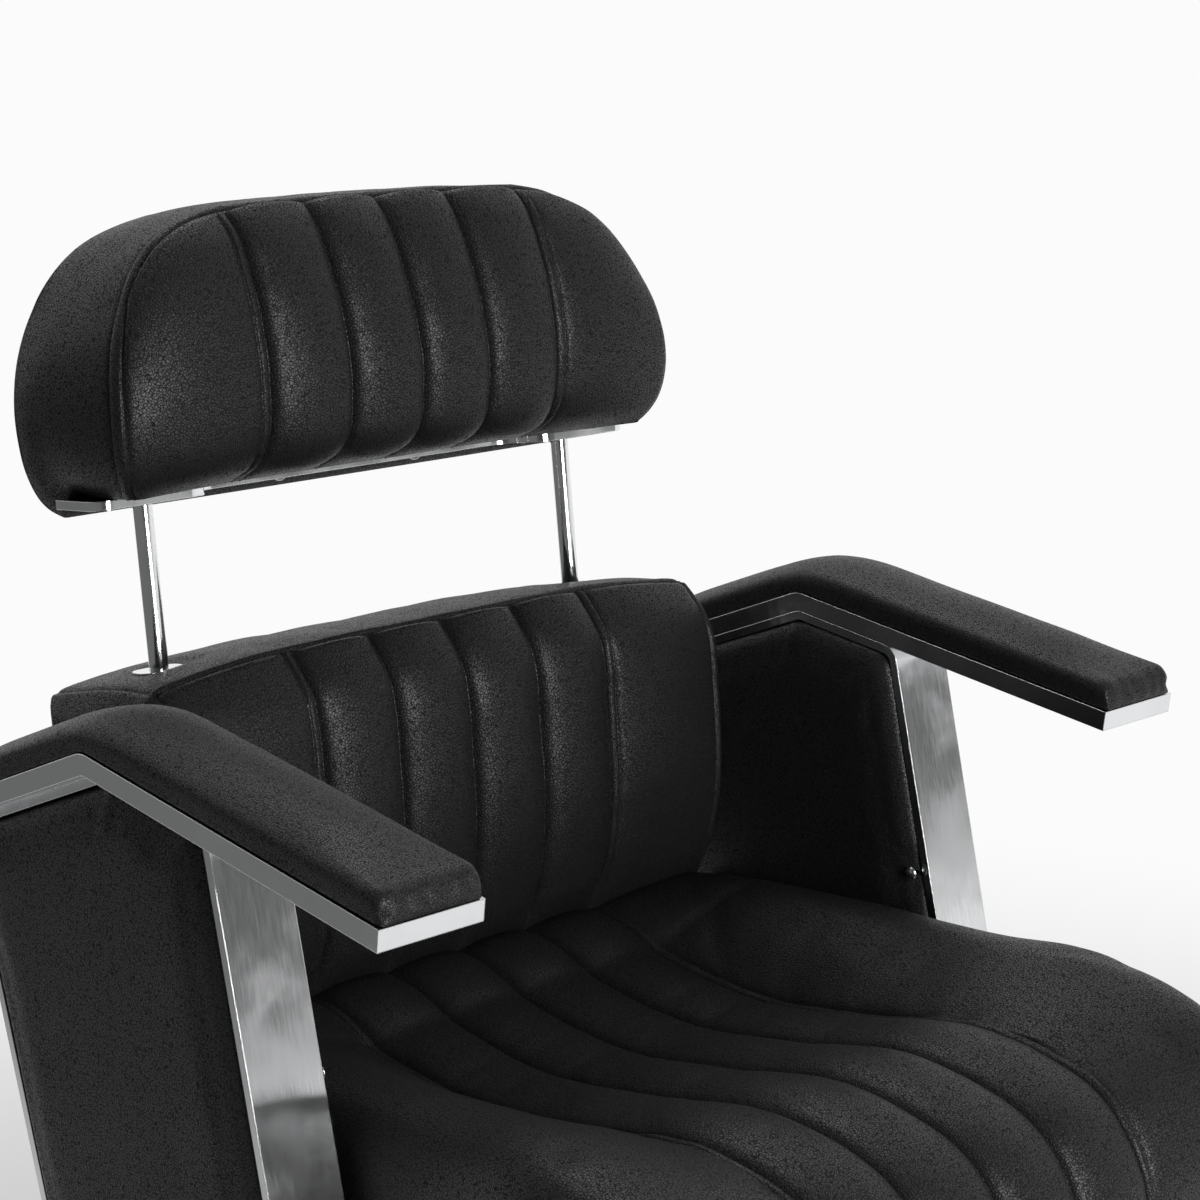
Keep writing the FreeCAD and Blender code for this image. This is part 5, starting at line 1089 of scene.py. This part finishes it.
def sew(title, body, lines, seed):
    """Turn sewn lines into one mesh of stitches that rides on a body."""
    looks = settings("chair_thread")
    ties, first = [], 0
    for line, _ in lines:
        ties += [(first + k, first + k + 1) for k in range(len(line) - 1)]
        first += len(line)
    mesh = bpy.data.meshes.new(title)
    mesh.from_pydata(np.concatenate([line for line, _ in lines]).tolist(), ties, [])
    facing = np.concatenate([normals for _, normals in lines])
    mesh.attributes.new("facing", "FLOAT_VECTOR", "POINT").data.foreach_set("vector", facing.ravel())
    piece = placed(title, mesh)
    tree = bpy.data.node_groups.get("stitches") or stitch_tree()
    wanted = {"Stitch Length": looks.stitch, "Stitch Gap": looks.gap, "Thread Thickness": looks.thickness,
              "Seed": seed, "Material": thread()}
    sockets = {item.name: item.identifier for item in tree.interface.items_tree if item.in_out == "INPUT"}
    applied(piece, "NODES", {sockets[label]: value for label, value in wanted.items()}, node_group=tree)
    piece.data.name = title
    settle(piece, body)


# Pieces

def held_parts(cushion, sewn, free):
    """One where the cover is sewn or hidden, zero where the foam may swell it."""
    on_line = np.zeros(len(cushion.across), bool)
    for line in sewn:
        on_line |= np.abs(np.abs(cushion.across) - line) < 0.1
    return np.where(free & ~on_line, 0.0, 1.0)


def row_near(rows, long, place):
    """The row of a line of some length that lies nearest to a place on it."""
    return int(np.argmin(np.abs(rows * long - place)))


def seam_places(single, double, strip):
    return [0.0, single, double - strip / 2, double, double + strip / 2]


def keep_channel_lines(body, cushion, single, double, strip):
    lines = [0.0, single, -single]
    lines += [sign * (double + offset) for sign in (-1, 1) for offset in (-strip / 2, strip / 2)]
    for line in lines:
        keep_line(body, cushion.piece, cushion.down_front(line))


class CHAIR_OT_headrest(bpy.types.Operator):
    """Build the D-shaped headrest cushion with its four channels and its lip behind the plate"""

    bl_idname = "chair.headrest"
    bl_label = "Headrest Cushion"

    def execute(self, context):
        seams = settings("chair_seams")
        strip = seams.strip / MM
        sewn = seam_places(HEAD_SINGLE, HEAD_DOUBLE, strip)
        columns = columns_between(HEAD_EDGE, sewn, 6.0)
        long_rows = rows_between(HEAD_LENGTHS[0], (0.0, 3.0), BEFORE_RIM, 6.5)
        short_rows = rows_between(HEAD_LENGTHS[1], BEHIND_RIM, (0.0, 2.0, 5.0), 9.0)
        cushion = Cushion("headrest_cover", mirrored(headrest_section), columns, long_rows, short_rows, BACK_PLACE,
                          HEAD_LENGTHS, ((-3.0, 0.0, 0.0), (3.0, 0.0, 0.0)), sewn_sides=True)
        piece = cushion.piece
        rim, side = cushion.rim, cushion.side
        free = (side == FRONT) & (rim < -1.0) | ((side == TOP) | (side == END)) & (rim > RIM_HELD)
        free &= (rim < HEAD_REAR_HELD) & (cushion.low > HEAD_LOW_HELD)
        swell(piece, held_parts(cushion, sewn, free), seams.pressure, seams.swell_limit)
        refined(piece)
        rim = values_of(piece, "rim")
        sewn_part = np.clip(-rim / 5.0, 0.0, 1.0) * np.clip(values_of(piece, "low") / 28.0, 0.0, 1.0)
        sew_channels(piece, HEAD_SINGLE, HEAD_DOUBLE, HEAD_EDGE, sewn_part, 3)
        sew_edge(piece, rim, RIM_STRIP, 0.0030, 0.0014)
        keep_channel_lines("headrest", cushion, HEAD_SINGLE, HEAD_DOUBLE, strip)
        for row in (0, row_near(short_rows, HEAD_LENGTHS[1], RIM_STRIP)):
            keep_line("headrest", piece, cushion.round_rim(row))
        settle(piece, "headrest", leather("pebbled_leather"), ["headrest_cushion"])
        return {"FINISHED"}


class CHAIR_OT_backrest(bpy.types.Operator):
    """Build the backrest cushion with its four channels and plain side bands"""

    bl_idname = "chair.backrest"
    bl_label = "Backrest Cushion"

    def execute(self, context):
        seams = settings("chair_seams")
        strip = seams.strip / MM
        sewn = seam_places(SEAM_SINGLE, SEAM_DOUBLE, strip)
        columns = columns_between(BACK_EDGE, [*sewn, BACK_BAND], 6.5)
        long_rows = rows_between(BACK_LENGTHS[0], (0.0, 3.0), BEFORE_RIM, 7.5)
        short_rows = rows_between(BACK_LENGTHS[1], BEHIND_RIM, (0.0, 3.0), 10.0)
        cushion = Cushion("backrest_cover", mirrored(backrest_section), columns, long_rows, short_rows, BACK_PLACE,
                          BACK_LENGTHS, ((-2.0, 0.0, 0.0), (2.0, 0.0, 0.0)))
        piece = cushion.piece
        rim, side, across = cushion.rim, cushion.side, np.abs(cushion.across)
        posts = np.abs(across - POST_ACROSS) < POST_HELD
        free = (side == FRONT) & (rim < -1.0) & (rim > -232.0) | (side == TOP) & (rim > RIM_HELD) & ~posts
        swell(piece, held_parts(cushion, [*sewn, BACK_BAND], free & (across < BACK_BAND)), seams.pressure,
              seams.swell_limit)
        refined(piece)
        rim, across = values_of(piece, "rim"), np.abs(values_of(piece, "across"))
        sewn_part = np.clip(-rim / 5.0, 0.0, 1.0) * np.clip(values_of(piece, "low") / 30.0, 0.0, 1.0)
        sew_channels(piece, SEAM_SINGLE, SEAM_DOUBLE, BACK_BAND, sewn_part, 11)
        sew_edge(piece, np.where(across < BACK_BAND + 2.0, rim, FAR), RIM_STRIP, 0.0028, 0.0013)
        sew_edge(piece, np.where(rim < 400.0, across - BACK_BAND, FAR), END_STRIP, 0.0022, 0.0008)
        back_frame = np.array(BACK_PLACE)
        spots = np.column_stack([points_of(piece), np.ones(len(rim))]) @ np.linalg.inv(back_frame).T
        beside = (across - POST_ACROSS) / ESCUTCHEON_WIDE
        behind = (spots[:, 1] / MM - ESCUTCHEON_BACK) / ESCUTCHEON_DEEP
        hollow = np.exp(-beside ** 4 - behind ** 4)
        hollow *= (rim > 5.0) & (rim < 400.0)
        spots[:, 2] += hollow * np.minimum(0.0, ESCUTCHEON_HIGH * MM - spots[:, 2])
        move_points(piece, (spots @ back_frame.T)[:, :3])
        keep_channel_lines("backrest", cushion, SEAM_SINGLE, SEAM_DOUBLE, strip)
        for sign in (-1.0, 1.0):
            keep_line("backrest", piece, cushion.down_front(sign * BACK_BAND))
        for row in (0, row_near(short_rows, BACK_LENGTHS[1], RIM_STRIP)):
            keep_line("backrest", piece, cushion.along_row(cushion.long_count - 1 + row, BACK_BAND))
        settle(piece, "backrest", leather("pebbled_leather"), ["back_cushion"])
        return {"FINISHED"}


class CHAIR_OT_seat(bpy.types.Operator):
    """Build the seat cushion with its four channels, raised sides and rounded front"""

    bl_idname = "chair.seat"
    bl_label = "Seat Cushion"

    def execute(self, context):
        seams = settings("chair_seams")
        strip = seams.strip / MM
        sewn = seam_places(SEAM_SINGLE, SEAM_DOUBLE, strip)
        columns = columns_between(SEAT_EDGE, sewn, 7.5)
        long_rows = rows_between(SEAT_LENGTHS[0], (0.0, 6.0), (0.0, 4.0, 10.0), 8.0)
        short_rows = rows_between(SEAT_LENGTHS[1], (0.0, 4.0), (0.0, 4.0), 12.0)
        cushion = Cushion("seat_cover", mirrored(seat_section), columns, long_rows, short_rows, SEAT_PLACE,
                          SEAT_LENGTHS, ((-1.5, 0.0, 0.0), (1.5, 0.0, 0.0)))
        piece = cushion.piece
        free = (cushion.side == FRONT) & (cushion.rim < -8.0) & (cushion.rim > -600.0)
        free &= np.abs(cushion.across) < SEAT_EDGE - 6.0
        swell(piece, held_parts(cushion, sewn, free), seams.pressure, seams.swell_limit)
        refined(piece)
        rim = values_of(piece, "rim")
        sewn_part = np.clip((-rim - 6.0) / 30.0, 0.0, 1.0) * np.clip((rim + 624.0) / 25.0, 0.0, 1.0)
        sew_channels(piece, SEAM_SINGLE, SEAM_DOUBLE, SEAT_EDGE, sewn_part, 23)
        between_ends = np.clip((232.0 - np.abs(values_of(piece, "across"))) / 20.0, 0.0, 1.0)
        spots = points_of(piece)
        spots[:, 2] += bump_between(-rim, 0.0, 90.0) * between_ends * UNDER_BACK
        move_points(piece, spots)
        keep_channel_lines("seat", cushion, SEAM_SINGLE, SEAM_DOUBLE, strip)
        settle(piece, "seat", leather("pebbled_leather"), ["seat_cushion"])
        return {"FINISHED"}


def remeshed_copy(node, title, cell):
    """A node's solid as an even closed skin of small faces."""
    piece = placed(title, NODES[node].data.copy())
    work = bmesh.new()
    work.from_mesh(piece.data)
    bmesh.ops.remove_doubles(work, verts=work.verts, dist=1e-5)
    work.to_mesh(piece.data)
    work.free()
    return applied(piece, "REMESH", mode="VOXEL", voxel_size=cell, use_smooth_shade=True)


def bar_top(back):
    """Height of an arm bar's upper face, with the apex rounded, and the same without rounding."""
    front_line = ARM_FRONT_HIGH + (back - ARM_FRONT) * math.tan(math.radians(ARM_FRONT_SLOPE))
    apex = ARM_FRONT_HIGH + (ARM_APEX - ARM_FRONT) * math.tan(math.radians(ARM_FRONT_SLOPE))
    rear_line = apex - (back - ARM_APEX) * math.tan(math.radians(ARM_REAR_SLOPE))
    drops = sum(math.exp((apex - line) / ARM_APEX_ROUND) for line in (front_line, rear_line))
    return apex - ARM_APEX_ROUND * math.log(drops), min(front_line, rear_line)


def arm_pad_section(side):
    """Sections of an arm pad: its crowned top, its inner wall, its underside and its outer wall."""
    def section(back):
        rounded, flat = bar_top(back)
        base = flat + 0.5
        into = min(back - ARM_FRONT, PAD_REAR - back)
        edge_round = math.sqrt(max(0.0, 1.0 - (1.0 - min(into / 9.0, 1.0)) ** 2))
        rise = min(into / 75.0, 1.0)
        edge = 9.0 + 8.5 * edge_round
        crown = edge + 7.5 * rise * rise * (3 - 2 * rise)
        high = max(rounded, flat - 4.0)
        half = ARM_PAD_HALF - 2.0 * (1.0 - edge_round)
        outline = [(-half, edge - 6.5), (-half + 0.8, edge - 2.6), (-half + 4.0, edge + 0.6),
                   (-half * 0.6, edge + (crown - edge) * 0.6), (0.0, crown), (half * 0.6, edge + (crown - edge) * 0.6),
                   (half - 4.0, edge + 0.6), (half - 0.8, edge - 2.6), (half, edge - 6.5)]
        top = smooth_line([(side * (ARM_CENTRE + x), back, high + z) for x, z in outline], 6)
        inner = [top[-1], (side * (ARM_CENTRE + half - 0.6), back, base)]
        below = [inner[-1], (side * (ARM_CENTRE - half + 0.6), back, base)]
        return top, np.array(inner), np.array(below), np.array([below[-1], top[0]])
    return section


class CHAIR_OT_arm_pads(bpy.types.Operator):
    """Build the two upholstered arm pads, pleated round their front corners"""

    bl_idname = "chair.arm_pads"
    bl_label = "Arm Pads"

    def execute(self, context):
        seams = settings("chair_seams")
        into = np.array([0.0, 0.8, 2.2, 4.2, 6.6, 9.5, 13.0])
        middle = np.linspace(ARM_FRONT + 13.0, PAD_REAR - 13.0, 76)[1:-1]
        stations = np.concatenate([ARM_FRONT + into, middle, PAD_REAR - into[::-1]])
        long_rows = rows_between(PAD_LENGTHS[0], (0.0, 3.0, 6.0, 10.0), (0.0, 3.0, 6.0, 10.0), 5.0)
        for side, name in ((1.0, "left"), (-1.0, "right")):
            cushion = Cushion(f"arm_pad_cover_{name}", arm_pad_section(side), stations, long_rows,
                              np.linspace(0.0, 1.0, 5), SEAT_PLACE, PAD_LENGTHS,
                              ((0.0, -1.2, 0.0), (0.0, 1.2, 0.0)))
            piece = cushion.piece
            inside = (cushion.across > ARM_FRONT + 10.0) & (cushion.across < PAD_REAR - 10.0)
            free = (cushion.side == FRONT) & (cushion.rim < -7.0) & (cushion.rim > -69.0) & inside
            swell(piece, np.where(free, 0.0, 1.0), seams.pressure * 0.4, 0.0015)
            refined(piece)
            spots, normals = points_of(piece), normals_of(piece)
            ahead = (spots[:, 1] / MM - ARM_FRONT)
            over_bar = spots[:, 2] / MM - ARM_FRONT_HIGH - ahead * math.tan(math.radians(ARM_FRONT_SLOPE))
            front = valley(np.maximum(ahead, 0.0), 7.0)
            pleats = np.sin(spots[:, 0] / PLEAT_STEP + ruffle(spots, 0.015, 5) * 3.0) * front * PLEAT_DEEP
            corner = ((np.abs(spots[:, 0]) / MM - ARM_CENTRE - ARM_PAD_HALF + 2.5) ** 2
                      + np.maximum(ahead, 0.0) ** 2 + (over_bar - 6.0) ** 2)
            pinched = -np.exp(-corner / 9.0) * PINCH_DEEP
            broad = ruffle(spots, 0.05, 6 + side) * 0.0005
            seated = np.clip(over_bar / 4.0, 0.0, 1.0) * (normals[:, 2] > -0.7)
            move_points(piece, spots + normals * ((pleats + broad) * seated + pinched)[:, None])
            settle(piece, "seat",
                   leather("arm_pad_leather", 0.8, settings("chair_leather").pad_grain_depth),
                   [f"arm_pad_{name}"])
        return {"FINISHED"}


class CHAIR_OT_side_panels(bpy.types.Operator):
    """Build the two upholstered panels inside the side frames, drawn in round their screws"""

    bl_idname = "chair.side_panels"
    bl_label = "Side Panels"

    def execute(self, context):
        seams = settings("chair_seams")
        screws = np.array([vertex.co for vertex in NODES["panel_screws"].data.vertices])
        for side, sign in (("left", 1.0), ("right", -1.0)):
            node = f"side_panel_{side}"
            piece = remeshed_copy(node, f"side_panel_cover_{side}", 0.0036)
            normals = normals_of(piece)
            held = np.where(np.abs(normals[:, 0]) < 0.6, 1.0, 0.0)
            swell(piece, held, seams.pressure * 0.2, 0.0014)
            spots, normals = points_of(piece), normals_of(piece)
            own = screws[screws[:, 0] * sign > 0]
            centre = own.mean(axis=0)
            away = np.hypot(spots[:, 1] - centre[1], spots[:, 2] - centre[2])
            inner = np.clip(-normals[:, 0] * sign, 0.0, 1.0)
            angle = np.arctan2(spots[:, 2] - centre[2], spots[:, 1] - centre[1])
            fold = 1.0 + 0.3 * np.sin(angle * 7.0 + 1.0)
            draw = (PANEL_PROUD - np.exp(-(away / SCREW_REACH) ** 2) * SCREW_DRAW * fold) * inner
            broad = ruffle(spots, 0.06, 9 + sign) * 0.0006
            move_points(piece, spots + normals * (draw + broad)[:, None])
            settle(piece, "seat", leather("pebbled_leather"), [node])
        return {"FINISHED"}


class CHAIR_OT_stitching(bpy.types.Operator):
    """Lay stitches along every seam of the cushions"""

    bl_idname = "chair.stitching"
    bl_label = "Stitching"

    def execute(self, context):
        if not SEWN_LINES:
            raise RuntimeError("the cushions come before their stitches")
        for seed, (body, lines) in enumerate(sorted(SEWN_LINES.items())):
            sew(f"{body}_stitches", body, lines, seed)
        SEWN_LINES.clear()
        return {"FINISHED"}


class CHAIR_OT_bright_finishes(bpy.types.Operator):
    """Plate the arm bars, side frames, posts and base with chrome, and finish the bare steel"""

    bl_idname = "chair.bright_finishes"
    bl_label = "Bright Finishes"

    def execute(self, context):
        plated = nodes_in_slot("chrome")
        flat = [title for title in plated if title.startswith(("side_frame", "arm_bar"))]
        dress_nodes([title for title in plated if title not in flat], chrome("polished_chrome"))
        dress_nodes(flat, chrome("flat_bar_chrome", 0.35, (700.0, 60.0, 60.0)))
        dress_nodes(nodes_in_slot("bright_steel"), bare_steel())
        return {"FINISHED"}


class CHAIR_OT_dark_finishes(bpy.types.Operator):
    """Finish the painted steel, rubber, nylon and plywood"""

    bl_idname = "chair.dark_finishes"
    bl_label = "Dark Finishes"

    def execute(self, context):
        dress_nodes(nodes_in_slot("black_steel"), black_paint())
        dress_nodes(nodes_in_slot("rubber"), moulded("matt_rubber", (0.022, 0.022, 0.022), 0.72, 900.0, 0.0003))
        dress_nodes(nodes_in_slot("nylon"), moulded("dark_nylon", (0.03, 0.03, 0.031), 0.46, 500.0, 0.0001))
        dress_nodes(nodes_in_slot("plywood"), plywood())
        return {"FINISHED"}


# Stage

LAMP_TARGET = (0.0, 0.05, 0.7)
FLOOR_RADIUS = 90.0
CAMERA_LENS = 81.42
CAMERA_SPOT = (-1.0958, -1.1365, 1.1757)
# How far round from straight ahead and how far up the camera stands, in degrees
CAMERA_ANGLES = (-42.6588, 13.3315)


def area_lamp(title, spot, size, power, tall=None):
    """A soft lamp that faces the middle of the cushions."""
    lamp = bpy.data.lights.new(title, "AREA")
    lamp.shape = "RECTANGLE"
    lamp.size = size
    lamp.size_y = tall or size
    lamp.energy = power
    holder = placed(title, lamp)
    holder.location = spot
    holder.rotation_euler = (Vector(LAMP_TARGET) - Vector(spot)).to_track_quat("-Z", "Y").to_euler()


def floor_material(looks):
    """Pale floor that keeps the chair's shadow and turns into the backdrop further out."""
    finish = Finish("pale_floor")
    grit = finish.noise(finish.spot, 3.0, 2.0)["Fac"]
    path = finish.add("ShaderNodeLightPath").outputs
    seen = finish.math("MAXIMUM", path["Is Camera Ray"], path["Is Glossy Ray"])
    aside = finish.ramp(finish.dot(finish.spot, (-0.95, 0.25, 0.0)), 0.5, 1.6)
    mirrored_glow = finish.mix(aside, looks.backdrop, looks.side_room)
    strength = finish.mix(path["Is Glossy Ray"], looks.backdrop, mirrored_glow)
    glow = finish.add("ShaderNodeEmission", {"Color": WHITE, "Strength": strength})
    fade = finish.ramp(finish.vector("LENGTH", {0: finish.spot})["Value"], 0.75, 2.1)
    factor = finish.math("MULTIPLY", finish.mix(fade, 0.5, 1.0), seen)
    both = finish.add("ShaderNodeMixShader", {0: factor, 1: finish.shader.outputs[0], 2: glow.outputs[0]})
    put(finish.end.inputs["Surface"], both.outputs[0])
    return finish.made({
        "Base Color": finish.tint(grit, looks.floor_shade, [min(1.0, part * 1.015) for part in looks.floor_shade]),
        "Roughness": 0.9,
        "Specular IOR Level": 0.1,
    })


def room_world(looks):
    """Even light for the chair, a white backdrop, and a dimmer room round it for reflections."""
    world = bpy.data.worlds.new("studio_room")
    world.use_nodes = True
    world.node_tree.nodes.clear()
    room = Nodes(world.node_tree)
    path = room.add("ShaderNodeLightPath").outputs
    ray = room.add("ShaderNodeTexCoord").outputs["Generated"]

    def towards(direction, low, high):
        return room.ramp(room.dot(ray, direction), low, high)

    walls = room.mix(towards((-0.93, 0.37, 0.0), 0.1, 0.8), looks.front_room, looks.side_room)
    dark = room.mix(towards((-0.66, -0.72, 0.2), 0.35, 0.92), walls, looks.dark_room)
    mirrored_room = room.mix(towards((0.62, 0.72, 0.32), 0.15, 0.65), dark, looks.backdrop)
    glossy = room.mix(path["Is Glossy Ray"], looks.room, mirrored_room)
    seen = room.mix(path["Is Camera Ray"], glossy, looks.backdrop)
    light = room.add("ShaderNodeBackground", {"Color": WHITE, "Strength": seen})
    room.add("ShaderNodeOutputWorld", {"Surface": light.outputs[0]})
    return world


class CHAIR_OT_stage(bpy.types.Operator):
    """Set the pale floor, the soft lamps and the camera"""

    bl_idname = "chair.stage"
    bl_label = "Stage"

    def execute(self, context):
        looks = settings("chair_stage")
        scene = bpy.context.scene
        mesh = bpy.data.meshes.new("studio_floor")
        work = bmesh.new()
        bmesh.ops.create_circle(work, cap_ends=True, radius=FLOOR_RADIUS, segments=96)
        work.to_mesh(mesh)
        work.free()
        floor = placed("studio_floor", mesh)
        mesh.materials.append(floor_material(looks))
        scene.world = room_world(looks)
        area_lamp("key_lamp", (-0.25, -2.5, 1.3), 0.9, looks.key_power, 1.5)
        area_lamp("fill_lamp", (2.2, -1.6, 1.5), 1.2, looks.fill_power)
        area_lamp("top_lamp", (0.5, 1.0, 2.5), 0.8, looks.top_power)
        view = bpy.data.cameras.new("view")
        view.lens = CAMERA_LENS
        view.sensor_width = 36.0
        view.sensor_fit = "AUTO"
        view.clip_start, view.clip_end = 0.05, 300.0
        camera = placed("view", view)
        azimuth, elevation = map(math.radians, CAMERA_ANGLES)
        back = Vector((math.sin(azimuth) * math.cos(elevation), -math.cos(azimuth) * math.cos(elevation),
                       math.sin(elevation)))
        camera.location = CAMERA_SPOT
        camera.rotation_euler = (-back).to_track_quat("-Z", "Y").to_euler()
        scene.camera = camera
        scene.view_settings.view_transform = "Standard"
        return {"FINISHED"}


OPERATORS = [
    CHAIR_OT_bright_finishes,
    CHAIR_OT_dark_finishes,
    CHAIR_OT_headrest,
    CHAIR_OT_backrest,
    CHAIR_OT_seat,
    CHAIR_OT_arm_pads,
    CHAIR_OT_side_panels,
    CHAIR_OT_stitching,
    CHAIR_OT_stage,
]


class CHAIR_PT_panel(bpy.types.Panel):
    """Steps and settings of the threading chair"""

    bl_idname = "CHAIR_PT_panel"
    bl_label = "Threading Chair"
    bl_space_type = "VIEW_3D"
    bl_region_type = "UI"
    bl_category = "Chair"

    def draw(self, context):
        for operator in OPERATORS:
            self.layout.operator(operator.bl_idname)
        for title, group in GROUPS.items():
            box = self.layout.box()
            box.label(text=group.__doc__.rstrip("."))
            for label in group.__annotations__:
                box.prop(getattr(context.scene, title), label)


def register():
    for group in GROUPS.values():
        bpy.utils.register_class(group)
    for operator in OPERATORS:
        bpy.utils.register_class(operator)
    bpy.utils.register_class(CHAIR_PT_panel)
    for title, group in GROUPS.items():
        setattr(bpy.types.Scene, title, bpy.props.PointerProperty(type=group))


def unregister():
    for title in GROUPS:
        delattr(bpy.types.Scene, title)
    bpy.utils.unregister_class(CHAIR_PT_panel)
    for operator in reversed(OPERATORS):
        bpy.utils.unregister_class(operator)
    for group in reversed(GROUPS.values()):
        bpy.utils.unregister_class(group)


def main():
    register()
    for operator in OPERATORS:
        family, step = operator.bl_idname.split(".")
        getattr(getattr(bpy.ops, family), step)()


if __name__ == "__main__":
    main()
